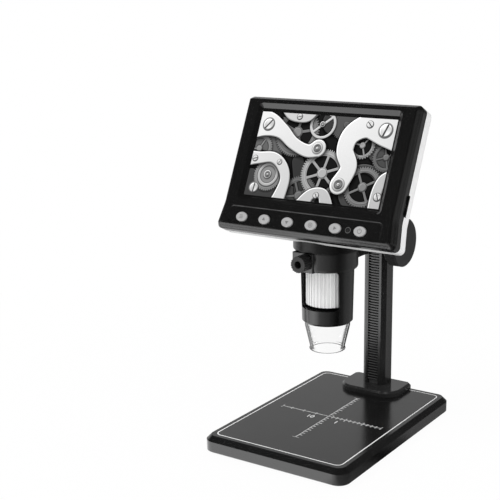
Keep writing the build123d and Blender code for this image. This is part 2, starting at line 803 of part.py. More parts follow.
# ---- front bezel ----
bevel_slope = degrees(atan(bevel_inset / bevel_depth))
key_places = [(key_first_u + key_pitch * index, key_v) for index in range(key_count)]
key_post_places = [(key_first_u + key_pitch / 2, key_v), (key_first_u + key_pitch * 3.5, key_v)]
boss_places = [(side * boss_u, height) for side in (-1, 1) for height in (boss_v_top, boss_v_low)]
panel_floor = bezel_front - panel_depth
notch_plane = Plane(
    origin=face.from_local_coords(Vector(head_width / 2, dial_v, -bezel_rear)),
    x_dir=face.y_dir, z_dir=(1, 0, 0),
)
with BuildPart() as front_bezel:
    with BuildSketch(face.offset(-bezel_rear)):
        head_outline(0)
    extrude(amount=bezel_rear + bezel_front - bevel_depth)
    with BuildSketch(face.offset(bezel_front - bevel_depth)):
        head_outline(0)
    extrude(amount=bevel_depth, taper=bevel_slope)
    with BuildSketch(face.offset(-bezel_rear)):
        head_outline(bezel_wall)
    extrude(amount=bezel_rear, mode=Mode.SUBTRACT)
    with BuildSketch(face.offset(bezel_front)):
        with Locations((0, window_centre)):
            RectangleRounded(window_width, window_height, window_corner)
    extrude(amount=-bezel_front, taper=degrees(atan(window_slope / bezel_front)), mode=Mode.SUBTRACT)
    with BuildSketch(face.offset(bezel_front)):
        with Locations((0, (panel_top + panel_bottom) / 2)):
            RectangleRounded(panel_width, panel_top - panel_bottom, panel_corner)
    extrude(amount=-panel_depth, taper=bevel_slope, mode=Mode.SUBTRACT)
    with BuildSketch(face.offset(bezel_front)):
        with Locations(*key_places):
            Ellipse(key_half_width + key_hole_gap, key_half_height + key_hole_gap)
        with Locations((lamp_u, key_v)):
            Circle(lamp_radius + lamp_gap)
    extrude(amount=-bezel_front, mode=Mode.SUBTRACT)
    with BuildSketch(face):
        with Locations(*boss_places):
            Circle(boss_radius)
    extrude(amount=-bezel_rear)
    with BuildSketch(face.offset(-bezel_rear)):
        with Locations(*boss_places):
            Circle(case_screw_radius)
    extrude(amount=bezel_rear - bezel_front, mode=Mode.SUBTRACT)
    with BuildSketch(face):
        with Locations(*key_post_places):
            Circle(key_post_radius)
    extrude(amount=-key_board_front)
    with BuildSketch(notch_plane):
        Polygon(
            (-notch_half, 0), (-notch_bezel_half, notch_bezel_depth), (notch_bezel_half, notch_bezel_depth),
            (notch_half, 0), align=None,
        )
    extrude(amount=-2 * bezel_wall, mode=Mode.SUBTRACT)
front_bezel.part.label = "front_bezel"
export_step(front_bezel.part, "parts/front_bezel.step")

# ---- colour screen and its backlight tray ----
with BuildPart() as lcd_panel:
    with BuildSketch(face):
        Rectangle(glass_width, glass_height)
    extrude(amount=-glass_thickness)
lcd_panel.part.label = "lcd_panel"
export_step(lcd_panel.part, "parts/lcd_panel.step")

with BuildPart() as backlight_tray:
    with BuildSketch(face.offset(-glass_thickness)):
        RectangleRounded(glass_width, glass_height, backlight_lip)
    extrude(amount=-backlight_thickness)
    with BuildSketch(face.offset(-glass_thickness - backlight_thickness)):
        RectangleRounded(glass_width - 6 * backlight_lip, glass_height - 6 * backlight_lip, backlight_lip)
    extrude(amount=backlight_thickness / 2, mode=Mode.SUBTRACT)
backlight_tray.part.label = "backlight_tray"
export_step(backlight_tray.part, "parts/backlight_tray.step")

# ---- main board with the tabs for the side sockets and the wheel ----
post_places = [(side * post_u, height) for side in (-1, 1) for height in (post_v_top, post_v_low)]
with BuildPart() as main_board:
    with BuildSketch(face.offset(-board_front)):
        with Locations((0, board_centre_v)):
            Rectangle(board_width, board_height)
        with Locations((-board_width / 2 - tab_reach / 2, left_tab_v)):
            Rectangle(tab_reach, left_tab_height)
        with Locations((board_width / 2 + tab_reach / 2, dial_v)):
            Rectangle(tab_reach, dial_tab_height)
        with Locations(*post_places):
            Circle(board_screw_radius + case_screw_gap, mode=Mode.SUBTRACT)
    extrude(amount=-board_thickness)
main_board.part.label = "main_board"
export_step(main_board.part, "parts/main_board.step")

with BuildPart() as battery:
    with BuildSketch(face.offset(-board_rear)):
        with Locations((battery_u, board_centre_v)):
            RectangleRounded(battery_width, battery_height, battery_thickness / 4)
    extrude(amount=-battery_thickness)
battery.part.label = "battery"
export_step(battery.part, "parts/battery.step")

# ---- key board with its switches, and the power lamp ----
board_left = key_first_u - key_board_margin
board_right = key_first_u + key_pitch * (key_count - 1) + key_board_margin
with BuildPart() as key_board:
    with BuildSketch(face.offset(-key_board_front)):
        with Locations(((board_left + board_right) / 2, key_v)):
            Rectangle(board_right - board_left, key_board_height)
    extrude(amount=-board_thickness)
key_board.part.label = "key_board"
export_step(key_board.part, "parts/key_board.step")

with BuildPart() as key_switches:
    with BuildSketch(face.offset(-key_board_front)):
        with Locations(*key_places):
            Rectangle(switch_size, switch_size)
    extrude(amount=switch_body)
    with BuildSketch(face.offset(-key_board_front + switch_body)):
        with Locations(*key_places):
            Circle(switch_plunger)
    extrude(amount=key_board_front - switch_body - key_rest_gap * 2 - key_flange_thickness - key_travel)
key_switches.part.label = "key_switches"
export_step(key_switches.part, "parts/key_switches.step")

with BuildPart() as power_lamp:
    with BuildSketch(face.offset(-key_board_front)):
        with Locations((lamp_u, key_v)):
            Circle(lamp_radius)
    extrude(amount=key_board_front + panel_floor)
    fillet(power_lamp.faces().sort_by(Axis.Z)[-1].edges(), radius=lamp_radius / 4)
power_lamp.part.label = "power_lamp"
export_step(power_lamp.part, "parts/power_lamp.step")

# ---- six sprung keys ----
for number, place in enumerate(key_places, start=1):
    with BuildPart() as key_cap:
        with BuildSketch(face.offset(-key_rest_gap - key_flange_thickness)):
            with Locations(place):
                Ellipse(key_half_width + key_flange, key_half_height + key_flange)
        extrude(amount=key_flange_thickness)
        with BuildSketch(face.offset(-key_rest_gap)):
            with Locations(place):
                Ellipse(key_half_width, key_half_height)
        extrude(amount=key_rest_gap + panel_floor + key_height)
        fillet(key_cap.faces().filter_by(GeomType.PLANE).sort_by(Axis(face.origin, face.z_dir))[-1].edges(),
               radius=key_height / 2)
    key_cap.part.label = f"key_{number}"
    export_step(key_cap.part, f"parts/key_{number}.step")

# ---- side sockets on the main board ----
socket_mouth = -head_width / 2 + socket_setback
usb_plane = Plane(
    origin=face.from_local_coords(Vector(socket_mouth, usb_v, -board_rear - usb_height / 2)),
    x_dir=face.y_dir, z_dir=(-1, 0, 0),
)
with BuildPart() as usb_socket:
    with BuildSketch(usb_plane):
        RectangleRounded(usb_width, usb_height, usb_height / 3)
    extrude(amount=-usb_length)
    with BuildSketch(usb_plane):
        RectangleRounded(usb_width - 2 * usb_wall, usb_height - 2 * usb_wall, usb_height / 3 - usb_wall)
    extrude(amount=-(usb_length - usb_wall), mode=Mode.SUBTRACT)
    with BuildSketch(usb_plane.offset(-usb_length)):
        Rectangle(usb_width / 2, usb_wall)
    extrude(amount=usb_length - 2 * usb_wall)
usb_socket.part.label = "usb_socket"
export_step(usb_socket.part, "parts/usb_socket.step")

card_plane = Plane(
    origin=face.from_local_coords(Vector(socket_mouth, card_v, -board_rear - card_height / 2)),
    x_dir=face.y_dir, z_dir=(-1, 0, 0),
)
with BuildPart() as card_socket:
    with BuildSketch(card_plane):
        Rectangle(card_width, card_height)
    extrude(amount=-card_length)
    with BuildSketch(card_plane):
        Rectangle(card_slot_width, card_slot_height)
    extrude(amount=-(card_length - card_height), mode=Mode.SUBTRACT)
card_socket.part.label = "card_socket"
export_step(card_socket.part, "parts/card_socket.step")

# ---- brightness wheel and the part it turns ----
with BuildPart() as dial_pot:
    with BuildSketch(face.offset(-board_front)):
        with Locations((dial_u, dial_v)):
            Rectangle(pot_size, pot_size)
    extrude(amount=pot_thickness)
    with BuildSketch(face.offset(-board_front + pot_thickness)):
        with Locations((dial_u, dial_v)):
            Circle(dial_pin_radius)
    extrude(amount=dial_gap + dial_thickness)
dial_pot.part.label = "dial_pot"
export_step(dial_pot.part, "parts/dial_pot.step")

with BuildPart() as light_dial:
    with BuildSketch(face.offset(-board_front + pot_thickness + dial_gap)):
        with Locations((dial_u, dial_v)):
            Circle(dial_radius)
            Circle(dial_pin_radius + shaft_gap, mode=Mode.SUBTRACT)
            with PolarLocations(dial_radius, dial_flutes):
                Circle(dial_flute_radius, mode=Mode.SUBTRACT)
    extrude(amount=dial_thickness)
light_dial.part.label = "light_dial"
export_step(light_dial.part, "parts/light_dial.step")

# ---- rear shell with the rounded neck above the tube ----
with BuildPart() as neck_form:
    with BuildSketch(tube_section):
        neck_half(hump_radius)
    revolve(axis=tube_axis)
    split(bisect_by=face.offset(-hump_front), keep=Keep.BOTTOM)
with BuildPart() as neck_hollow:
    with BuildSketch(tube_section):
        neck_half(hump_radius - hump_wall)
    revolve(axis=tube_axis)
    split(bisect_by=face.offset(-hump_front), keep=Keep.BOTTOM)
with BuildPart() as rear_shell:
    with BuildSketch(face.offset(-shell_rear)):
        head_outline(0)
    extrude(amount=shell_depth)
    fillet(rear_shell.faces().sort_by(Axis(face.origin, face.z_dir))[0].edges(), radius=shell_round)
    add(neck_form.part)
    with BuildSketch(face.offset(-bezel_rear)):
        head_outline(shell_wall)
    extrude(amount=-(shell_inner - bezel_rear), mode=Mode.SUBTRACT)
    add(neck_hollow.part, mode=Mode.SUBTRACT)
    with BuildSketch(Plane.XY.offset(collar_bottom)):
        with Locations((0, tube_y)):
            Circle(collar_radius + case_screw_gap)
    extrude(amount=collar_top - collar_bottom, mode=Mode.SUBTRACT)
    # bosses of the case screws and posts of the main board
    with BuildSketch(face.offset(-bezel_rear)):
        with Locations(*boss_places):
            Circle(shell_boss_radius)
    extrude(amount=-(shell_inner - bezel_rear))
    with BuildSketch(face.offset(-board_rear)):
        with Locations(*post_places):
            Circle(post_radius)
    extrude(amount=-(shell_inner - board_rear))
    with BuildSketch(face.offset(-board_rear)):
        with Locations(*post_places):
            Circle(board_screw_radius)
    extrude(amount=-board_screw_length, mode=Mode.SUBTRACT)
    with BuildSketch(face.offset(-bezel_rear)):
        with Locations(*boss_places):
            Circle(case_screw_radius + case_screw_gap)
    extrude(amount=-shell_depth, mode=Mode.SUBTRACT)
    with BuildSketch(face.offset(-shell_rear)):
        with Locations(*boss_places):
            Circle(case_screw_head + case_screw_gap)
    extrude(amount=case_screw_sink, mode=Mode.SUBTRACT)
    # openings for the sockets and the brightness wheel
    with BuildSketch(face.offset(-board_rear + socket_gap)):
        side_opening(usb_v, usb_width)
    extrude(amount=-(usb_height + 2 * socket_gap), mode=Mode.SUBTRACT)
    with BuildSketch(face.offset(-board_rear + socket_gap)):
        side_opening(card_v, card_width)
    extrude(amount=-(card_height + 2 * socket_gap), mode=Mode.SUBTRACT)
    with BuildSketch(notch_plane):
        Polygon(
            (-notch_half, 0), (-notch_floor_half, -notch_depth), (notch_floor_half, -notch_depth),
            (notch_half, 0), align=None,
        )
        fillet(vertices().group_by(Axis.Y)[0], radius=notch_round)
    extrude(amount=-2 * shell_wall, mode=Mode.SUBTRACT)
rear_shell.part.label = "rear_shell"
export_step(rear_shell.part, "parts/rear_shell.step")

# ---- case screws, from the rear into the bosses of the bezel ----
head_seat = shell_rear - case_screw_sink
with BuildPart() as case_screws:
    with BuildSketch(face.offset(-head_seat)):
        with Locations(*boss_places):
            Circle(case_screw_head)
    extrude(amount=-case_screw_head_height)
    with BuildSketch(face.offset(-head_seat - case_screw_head_height)):
        with Locations(*boss_places):
            Rectangle(1.3 * case_screw_head, case_screw_head / 4)
            Rectangle(case_screw_head / 4, 1.3 * case_screw_head)
    extrude(amount=case_screw_head_height / 2, mode=Mode.SUBTRACT)
    with BuildSketch(face.offset(-head_seat)):
        with Locations(*boss_places):
            Circle(case_screw_radius)
    extrude(amount=head_seat - case_screw_end)
case_screws.part.label = "case_screws"
export_step(case_screws.part, "parts/case_screws.step")

# ---- screws of the main board ----
with BuildPart() as board_screws:
    with BuildSketch(face.offset(-board_front)):
        with Locations(*post_places):
            Circle(board_screw_head)
    extrude(amount=board_screw_head_height)
    with BuildSketch(face.offset(-board_front + board_screw_head_height)):
        with Locations(*post_places):
            Rectangle(1.3 * board_screw_head, board_screw_head / 4)
            Rectangle(board_screw_head / 4, 1.3 * board_screw_head)
    extrude(amount=-board_screw_head_height / 2, mode=Mode.SUBTRACT)
    with BuildSketch(face.offset(-board_front)):
        with Locations(*post_places):
            Circle(board_screw_radius)
    extrude(amount=-(board_thickness + board_screw_length))
board_screws.part.label = "board_screws"
export_step(board_screws.part, "parts/board_screws.step")

# ---- collar between the housing and the tube ----
with BuildPart() as neck_collar:
    with BuildSketch(Plane.XY.offset(collar_bottom)):
        with Locations((0, tube_y)):
            Circle(collar_radius)
            Circle(tube_upper_radius + shaft_gap, mode=Mode.SUBTRACT)
    extrude(amount=collar_top - collar_bottom)
    fillet(neck_collar.edges().group_by(Axis.Z)[0].sort_by(SortBy.RADIUS)[-1], radius=collar_round)
neck_collar.part.label = "neck_collar"
export_step(neck_collar.part, "parts/neck_collar.step")

# ---- tube with the port for the focusing wheel ----
with BuildPart() as barrel:
    with BuildSketch(tube_section):
        Polygon(
            (seat_radius, tube_bottom), (tube_lower_radius - tube_bevel, tube_bottom),
            (tube_lower_radius, tube_bottom + tube_bevel), (tube_upper_radius, tube_taper_top),
            (tube_upper_radius, collar_top), (tube_flange_radius, collar_top),
            (tube_flange_radius, collar_top + tube_flange), (tube_bore, collar_top + tube_flange),
            (tube_bore, ledge_top), (ledge_radius, ledge_top), (ledge_radius, ledge_top - ledge_thickness),
            (tube_bore, ledge_top - ledge_thickness), (tube_bore, tube_bottom + seat_depth),
            (seat_radius, tube_bottom + seat_depth), align=None,
        )
    revolve(axis=tube_axis)
    with BuildSketch(tube_section.offset(port_back)):
        with Locations((0, ledge_top)):
            Rectangle(2 * port_half_width, port_top - ledge_top, align=(Align.CENTER, Align.MIN))
        fillet(vertices().group_by(Axis.Z)[0], radius=port_corner)
    extrude(amount=tube_upper_radius, mode=Mode.SUBTRACT)
barrel.part.label = "barrel"
export_step(barrel.part, "parts/barrel.step")

# ---- guide of the lens, standing on the ledge of the tube ----
with BuildPart() as lens_guide:
    with BuildSketch(tube_section):
        Polygon(
            (guide_bore, ledge_top), (guide_radius, ledge_top), (guide_radius, guide_top - guide_flange),
            (guide_flange_radius, guide_top - guide_flange), (guide_flange_radius, guide_top),
            (guide_bore, guide_top), align=None,
        )
    revolve(axis=tube_axis)
    with BuildSketch(Plane.YZ.offset(-guide_radius)):
        with Locations((tube_y, cell_middle)):
            SlotCenterToCenter(2 * lens_travel, guide_slot, rotation=90)
    extrude(amount=2 * guide_radius, mode=Mode.SUBTRACT)
lens_guide.part.label = "lens_guide"
export_step(lens_guide.part, "parts/lens_guide.step")

# ---- camera board on top of the guide ----
with BuildPart() as sensor_board:
    with BuildSketch(Plane.XY.offset(guide_top)):
        with Locations((0, tube_y)):
            Circle(sensor_radius)
    extrude(amount=board_thickness)
    with BuildSketch(Plane.XY.offset(guide_top)):
        with Locations((0, tube_y)):
            Rectangle(sensor_size, sensor_size)
    extrude(amount=-sensor_thickness)
sensor_board.part.label = "sensor_board"
export_step(sensor_board.part, "parts/sensor_board.step")

# ---- lamp board with its ring of lamps ----
led_board_top = tube_bottom + seat_depth
led_board_bottom = led_board_top - board_thickness
with BuildPart() as led_board:
    with BuildSketch(Plane.XY.offset(led_board_bottom)):
        with Locations((0, tube_y)):
            Circle(seat_radius - cap_seat_gap)
            Circle(led_board_bore, mode=Mode.SUBTRACT)
    extrude(amount=board_thickness)
led_board.part.label = "led_board"
export_step(led_board.part, "parts/led_board.step")

with BuildPart() as led_ring:
    with BuildSketch(Plane.XY.offset(led_board_bottom)):
        with Locations((0, tube_y)):
            with PolarLocations(led_ring_radius, led_count):
                Rectangle(led_width, led_width)
    extrude(amount=-led_height)
led_ring.part.label = "led_ring"
export_step(led_ring.part, "parts/led_ring.step")

# ---- clear cap with an open mouth and a lip ----
cap_flare = (cap_top_radius - cap_mouth_radius) / (cap_straight_end - cap_bottom)
cap_lip_root = cap_mouth_radius + cap_flare * cap_lip_height
with BuildPart() as clear_cap:
    with BuildSketch(tube_section):
        Polygon(
            (cap_top_radius, led_board_bottom), (cap_top_radius, cap_straight_end),
            (cap_lip_root, cap_bottom + cap_lip_height), (cap_lip_root + cap_lip, cap_bottom + cap_lip_height / 2),
            (cap_lip_root + cap_lip, cap_bottom), (cap_mouth_radius - cap_wall, cap_bottom),
            (cap_top_radius - cap_wall, cap_straight_end), (cap_top_radius - cap_wall, led_board_bottom),
            align=None,
        )
    revolve(axis=tube_axis)
    fillet(clear_cap.edges().group_by(Axis.Z)[0], radius=cap_wall / 2.5)
    shoulder = (cap_straight_end - cap_wall, cap_straight_end + cap_wall)
    fillet(clear_cap.edges().filter_by_position(Axis.Z, *shoulder), radius=cap_shoulder_round)
clear_cap.part.label = "clear_cap"
export_step(clear_cap.part, "parts/clear_cap.step")

# ---- ribbed focusing wheel, turning on the guide ----
with BuildPart() as focus_wheel:
    with BuildSketch(tube_section):
        Polygon(
            (wheel_bore, wheel_bottom), (wheel_radius, wheel_bottom), (wheel_radius, wheel_top),
            (wheel_bore, wheel_top), (wheel_bore, wheel_top - wheel_rim), (wheel_relief, wheel_top - wheel_rim),
            (wheel_relief, wheel_bottom + wheel_rim), (wheel_bore, wheel_bottom + wheel_rim), align=None,
        )
    revolve(axis=tube_axis)
    with BuildSketch(Plane.XY.offset(wheel_bottom)):
        with Locations((0, tube_y)):
            with PolarLocations(wheel_radius - wheel_rib, wheel_ribs):
                RectangleRounded(4 * wheel_rib, wheel_rib_width, wheel_rib)
    extrude(amount=wheel_height)
focus_wheel.part.label = "focus_wheel"
export_step(focus_wheel.part, "parts/focus_wheel.step")

# ---- sliding lens cell and its lens ----
with BuildPart() as lens_cell:
    with BuildSketch(tube_section):
        Polygon(
            (cell_bore - lens_ledge, cell_bottom), (cell_radius, cell_bottom),
            (cell_radius, cell_bottom + cell_length), (cell_bore, cell_bottom + cell_length),
            (cell_bore, cell_bottom + cell_seat), (cell_bore - lens_ledge, cell_bottom + cell_seat),
            align=None,
        )
    revolve(axis=tube_axis)
    for side in (-1, 1):
        with BuildSketch(Plane.YZ.offset(side * cell_pin_reach)):
            with Locations((tube_y, cell_middle)):
                Circle(cell_pin_radius)
        extrude(amount=-side * (cell_pin_reach - cell_bore - lens_ledge / 4))
lens_cell.part.label = "lens_cell"
export_step(lens_cell.part, "parts/lens_cell.step")

with BuildPart() as lens_glass:
    with BuildSketch(Plane.XY.offset(cell_bottom + cell_seat)):
        with Locations((0, tube_y)):
            Circle(cell_bore - shaft_gap)
    extrude(amount=lens_thickness)
    fillet(lens_glass.edges().group_by(Axis.Z)[-1], radius=lens_thickness / 2)
lens_glass.part.label = "lens_glass"
export_step(lens_glass.part, "parts/lens_glass.step")
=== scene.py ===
import math
import bpy
from mathutils import Matrix, Vector
from mathutils.geometry import tessellate_polygon


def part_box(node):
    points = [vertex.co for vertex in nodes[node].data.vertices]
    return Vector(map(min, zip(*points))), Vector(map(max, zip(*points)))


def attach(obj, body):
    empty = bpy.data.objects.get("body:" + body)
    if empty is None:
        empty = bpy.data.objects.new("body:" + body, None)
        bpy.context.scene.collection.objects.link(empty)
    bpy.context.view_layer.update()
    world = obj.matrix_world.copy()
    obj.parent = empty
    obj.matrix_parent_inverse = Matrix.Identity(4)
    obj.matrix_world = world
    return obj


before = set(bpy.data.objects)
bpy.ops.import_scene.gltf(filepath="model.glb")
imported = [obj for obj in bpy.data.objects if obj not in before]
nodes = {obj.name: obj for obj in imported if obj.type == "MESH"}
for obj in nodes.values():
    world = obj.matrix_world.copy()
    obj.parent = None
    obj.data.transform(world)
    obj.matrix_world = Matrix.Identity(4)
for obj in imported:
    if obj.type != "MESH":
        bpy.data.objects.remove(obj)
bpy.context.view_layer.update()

mm = 0.001
# the plane of the screen leans back and lies on the front of the panel
screenTilt = math.radians(25.0)
screenRight = Vector((1.0, 0.0, 0.0))
screenUp = Vector((0.0, math.sin(screenTilt), math.cos(screenTilt)))
screenOut = Vector((0.0, -math.cos(screenTilt), math.sin(screenTilt)))
screenTurn = Matrix((screenRight, screenUp, screenOut)).transposed()
panelLow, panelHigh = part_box("lcd_panel")
panelThickness = 3.2 * mm
screenCentre = (panelLow + panelHigh) / 2 + screenOut * panelThickness / 2


def screenMatrix(right=0.0, up=0.0, out=0.0):
    # sizes in millimetres from the middle of the screen
    place = screenCentre + (screenRight * right + screenUp * up + screenOut * out) * mm
    return Matrix.Translation(place) @ screenTurn.to_4x4() @ Matrix.Scale(mm, 4)


def newMaterial(name):
    material = bpy.data.materials.new(name)
    material.use_nodes = True
    tree = material.node_tree
    return material, tree, tree.nodes["Principled BSDF"]


def grey(level):
    return (level, level, level, 1.0)


def feed(tree, target, value):
    # a socket is linked, and a number or a colour is set
    if isinstance(value, bpy.types.NodeSocket):
        tree.links.new(value, target)
    else:
        target.default_value = value


def addNode(tree, kind, **values):
    # a value goes to the input of its name, or else to the setting of its name
    node = tree.nodes.new(kind)
    for key, value in values.items():
        if key in node.inputs:
            feed(tree, node.inputs[key], value)
        else:
            setattr(node, key, value)
    return node


def mathNode(tree, operation, *values):
    node = addNode(tree, "ShaderNodeMath", operation=operation)
    for target, value in zip(node.inputs, values):
        feed(tree, target, value)
    return node.outputs["Value"]


def spanNode(tree, value, low, high, atLow, atHigh, smooth=False):
    span = addNode(tree, "ShaderNodeMapRange")
    if smooth:
        span.interpolation_type = "SMOOTHSTEP"
    for name, number in (("From Min", low), ("From Max", high), ("To Min", atLow), ("To Max", atHigh)):
        span.inputs[name].default_value = number
    tree.links.new(value, span.inputs["Value"])
    return span.outputs["Result"]


def mixNumbers(tree, share, first, second):
    mix = addNode(tree, "ShaderNodeMix", data_type="FLOAT")
    for index, value in ((0, share), (2, first), (3, second)):
        feed(tree, mix.inputs[index], value)
    return mix.outputs[0]


def mixColours(tree, share, first, second, blend="MIX"):
    mix = addNode(tree, "ShaderNodeMix", data_type="RGBA", blend_type=blend)
    for index, value in ((0, share), (6, first), (7, second)):
        feed(tree, mix.inputs[index], value)
    return mix.outputs[2]


def objectCoords(tree):
    return addNode(tree, "ShaderNodeTexCoord").outputs["Object"]


def noiseNode(tree, coords, scale, detail, roughness):
    noise = addNode(tree, "ShaderNodeTexNoise", Vector=coords)
    for name, number in (("Scale", scale), ("Detail", detail), ("Roughness", roughness)):
        noise.inputs[name].default_value = number
    return noise.outputs["Fac"]


def grainBump(tree, shader, coords, scale, strength, edge=0.0):
    # moulded grain, over edges that look rounded by the radius in edge
    grain = noiseNode(tree, coords, scale, detail=3.0, roughness=0.6)
    bump = addNode(tree, "ShaderNodeBump", Strength=strength, Distance=0.2 * mm, Height=grain)
    if edge > 0:
        rounded = addNode(tree, "ShaderNodeBevel", samples=4, Radius=edge)
        tree.links.new(rounded.outputs["Normal"], bump.inputs["Normal"])
    tree.links.new(bump.outputs["Normal"], shader.inputs["Normal"])


def varyRoughness(tree, shader, coords, low, high, scale):
    noise = noiseNode(tree, coords, scale, detail=5.0, roughness=0.65)
    tree.links.new(spanNode(tree, noise, 0.0, 1.0, low, high), shader.inputs["Roughness"])


def plastic(name, level, roughness, grain, strength=0.15, specular=0.5, edge=0.0003, drift=0.1,
            tint=(1, 1, 1)):
    # moulded plastic: fine grain, with a slow drift of the colour and the gloss
    material, tree, shader = newMaterial(name)
    coords = objectCoords(tree)
    grainBump(tree, shader, coords, grain, strength, edge)
    clouds = noiseNode(tree, coords, scale=60.0, detail=4.0, roughness=0.55)
    ramp = addNode(tree, "ShaderNodeValToRGB", Fac=clouds)
    for stop, position, change in zip(ramp.color_ramp.elements, (0.35, 0.65), (1 - drift, 1 + drift)):
        stop.position = position
        stop.color = (*[level * change * part for part in tint], 1.0)
    tree.links.new(ramp.outputs["Color"], shader.inputs["Base Color"])
    varyRoughness(tree, shader, coords, low=roughness * 0.85, high=roughness * 1.2, scale=90.0)
    shader.inputs["Specular IOR Level"].default_value = specular
    return material


def metal(name, colour, roughness, stretch=(1.0, 1.0, 30.0)):
    # turned or brushed metal: a noise drawn out along one way
    material, tree, shader = newMaterial(name)
    place = addNode(tree, "ShaderNodeMapping", Vector=objectCoords(tree), Scale=stretch)
    lines = noiseNode(tree, place.outputs["Vector"], scale=900.0, detail=4.0, roughness=0.7)
    rounded = addNode(tree, "ShaderNodeBevel", samples=4, Radius=0.2 * mm)
    bump = addNode(tree, "ShaderNodeBump", Strength=0.12, Distance=0.1 * mm, Height=lines)
    gloss = spanNode(tree, lines, 0.0, 1.0, roughness * 0.8, roughness * 1.3)
    shader.inputs["Base Color"].default_value = (*colour, 1.0)
    shader.inputs["Metallic"].default_value = 1.0
    tree.links.new(rounded.outputs["Normal"], bump.inputs["Normal"])
    tree.links.new(bump.outputs["Normal"], shader.inputs["Normal"])
    tree.links.new(gloss, shader.inputs["Roughness"])
    return material


def newClear(name, smoothest, roughest, ior):
    # what the clear finishes share: a faint wave of the surface, and a gloss that drifts
    material, tree, shader = newMaterial(name)
    coords = objectCoords(tree)
    grainBump(tree, shader, coords, scale=120.0, strength=0.02)
    varyRoughness(tree, shader, coords, smoothest, roughest, scale=70.0)
    shader.inputs["IOR"].default_value = ior
    return material, tree, shader


def clearGlass(name, tint, roughness, ior):
    material, tree, shader = newClear(name, roughness * 0.5, roughness * 1.8, ior)
    shader.inputs["Base Color"].default_value = (*tint, 1.0)
    shader.inputs["Transmission Weight"].default_value = 1.0
    return material


def thinClearWall(name, openAlpha, turnsFrom, turnsTo):
    # nearly open where it is seen straight on; where the wall turns away from view, painted shade: its colour
    # goes near black and it lets no light through
    material, tree, shader = newClear(name, smoothest=0.02, roughest=0.06, ior=1.3)
    facing = addNode(tree, "ShaderNodeLayerWeight", Blend=0.5).outputs["Facing"]
    turned = spanNode(tree, facing, turnsFrom, turnsTo, 0.0, 1.0)
    alpha = spanNode(tree, facing, turnsFrom, turnsTo, openAlpha, 1.0)
    through = spanNode(tree, facing, turnsFrom, turnsTo, 1.0, 0.0)
    tone = mixColours(tree, turned, (0.97, 0.98, 0.98, 1.0), grey(0.02))
    tree.links.new(alpha, shader.inputs["Alpha"])
    tree.links.new(through, shader.inputs["Transmission Weight"])
    tree.links.new(tone, shader.inputs["Base Color"])
    return material


def boxMask(tree, node, box):
    # 1 inside a box that lies in the plane of the screen, and 0 outside
    local = node.matrix_world.inverted()
    place = addNode(tree, "ShaderNodeMapping", vector_type="TEXTURE", Vector=objectCoords(tree))
    place.inputs["Location"].default_value = local @ (screenMatrix() @ Vector(box["centre"]))
    place.inputs["Rotation"].default_value = (local.to_3x3() @ screenTurn).to_euler()
    parts = addNode(tree, "ShaderNodeSeparateXYZ", Vector=place.outputs["Vector"])
    right, up, out = (mathNode(tree, "LESS_THAN", mathNode(tree, "ABSOLUTE", parts.outputs[axis]), half * mm)
                      for axis, half in zip("XYZ", box["half"]))
    return mathNode(tree, "MULTIPLY", mathNode(tree, "MULTIPLY", right, up), out)


# boxes in the plane of the screen, in millimetres from its middle: right, up, out
bezelFace = {"centre": (0.0, -6.25, 0.0), "half": (57.8, 40.2, 40.0), "rolledEdge": 2.6, "crispEdge": 0.4}
# painted shade inside the notch of the brightness wheel: its box and its grey
notchShadeBox = {"centre": (56.0, -21.6, -8.2), "half": (9.0, 6.5, 1.05), "level": 0.01}


def rollBezelEdges(material):
    # the outer edges are rolled, the edges on the face are crisp
    tree = material.node_tree
    mask = boxMask(tree, nodes["front_bezel"], bezelFace)
    radius = spanNode(tree, mask, 0.0, 1.0, bezelFace["rolledEdge"] * mm, bezelFace["crispEdge"] * mm)
    rounded = tree.nodes["Bevel"]
    rounded.samples = 8
    tree.links.new(radius, rounded.inputs["Radius"])


def paintNotchShade(material):
    # painted shade: the white shell is coloured near black inside the notch of the brightness wheel
    tree = material.node_tree
    baseColour = tree.nodes["Principled BSDF"].inputs["Base Color"]
    mask = boxMask(tree, nodes["rear_shell"], notchShadeBox)
    tone = mixColours(tree, mask, baseColour.links[0].from_socket, grey(notchShadeBox["level"]))
    tree.links.new(tone, baseColour)


def paintGrooveShade(material, reach, top, grooveShade):
    # painted shade: ambient occlusion darkens the colour in the grooves between ribs or teeth, below their
    # tops
    tree = material.node_tree
    hollow = addNode(tree, "ShaderNodeAmbientOcclusion", samples=8, Distance=reach, only_local=True)
    share = spanNode(tree, hollow.outputs["AO"], 0.45, 0.95, 0.0, 1.0)
    tone = mixColours(tree, share, grey(grooveShade), grey(top))
    tree.links.new(tone, tree.nodes["Principled BSDF"].inputs["Base Color"])


screenGlow = {"strength": 0.95, "roughness": 0.35, "specular": 0.1, "grain": 1400.0, "range": (0.9, 1.08)}


def litPicture(name):
    # the picture on the screen: a grey stored on the mesh, lit from behind like a panel
    material, tree, shader = newMaterial(name)
    tone = addNode(tree, "ShaderNodeAttribute", attribute_name="tone")
    noise = noiseNode(tree, objectCoords(tree), screenGlow["grain"], detail=5.0, roughness=0.7)
    grain = spanNode(tree, noise, 0.0, 1.0, *screenGlow["range"])
    glow = mixColours(tree, 1.0, tone.outputs["Color"], grain, "MULTIPLY")
    tree.links.new(glow, shader.inputs["Emission Color"])
    shader.inputs["Emission Strength"].default_value = screenGlow["strength"]
    shader.inputs["Base Color"].default_value = grey(0.0)
    shader.inputs["Roughness"].default_value = screenGlow["roughness"]
    shader.inputs["Specular IOR Level"].default_value = screenGlow["specular"]
    return material


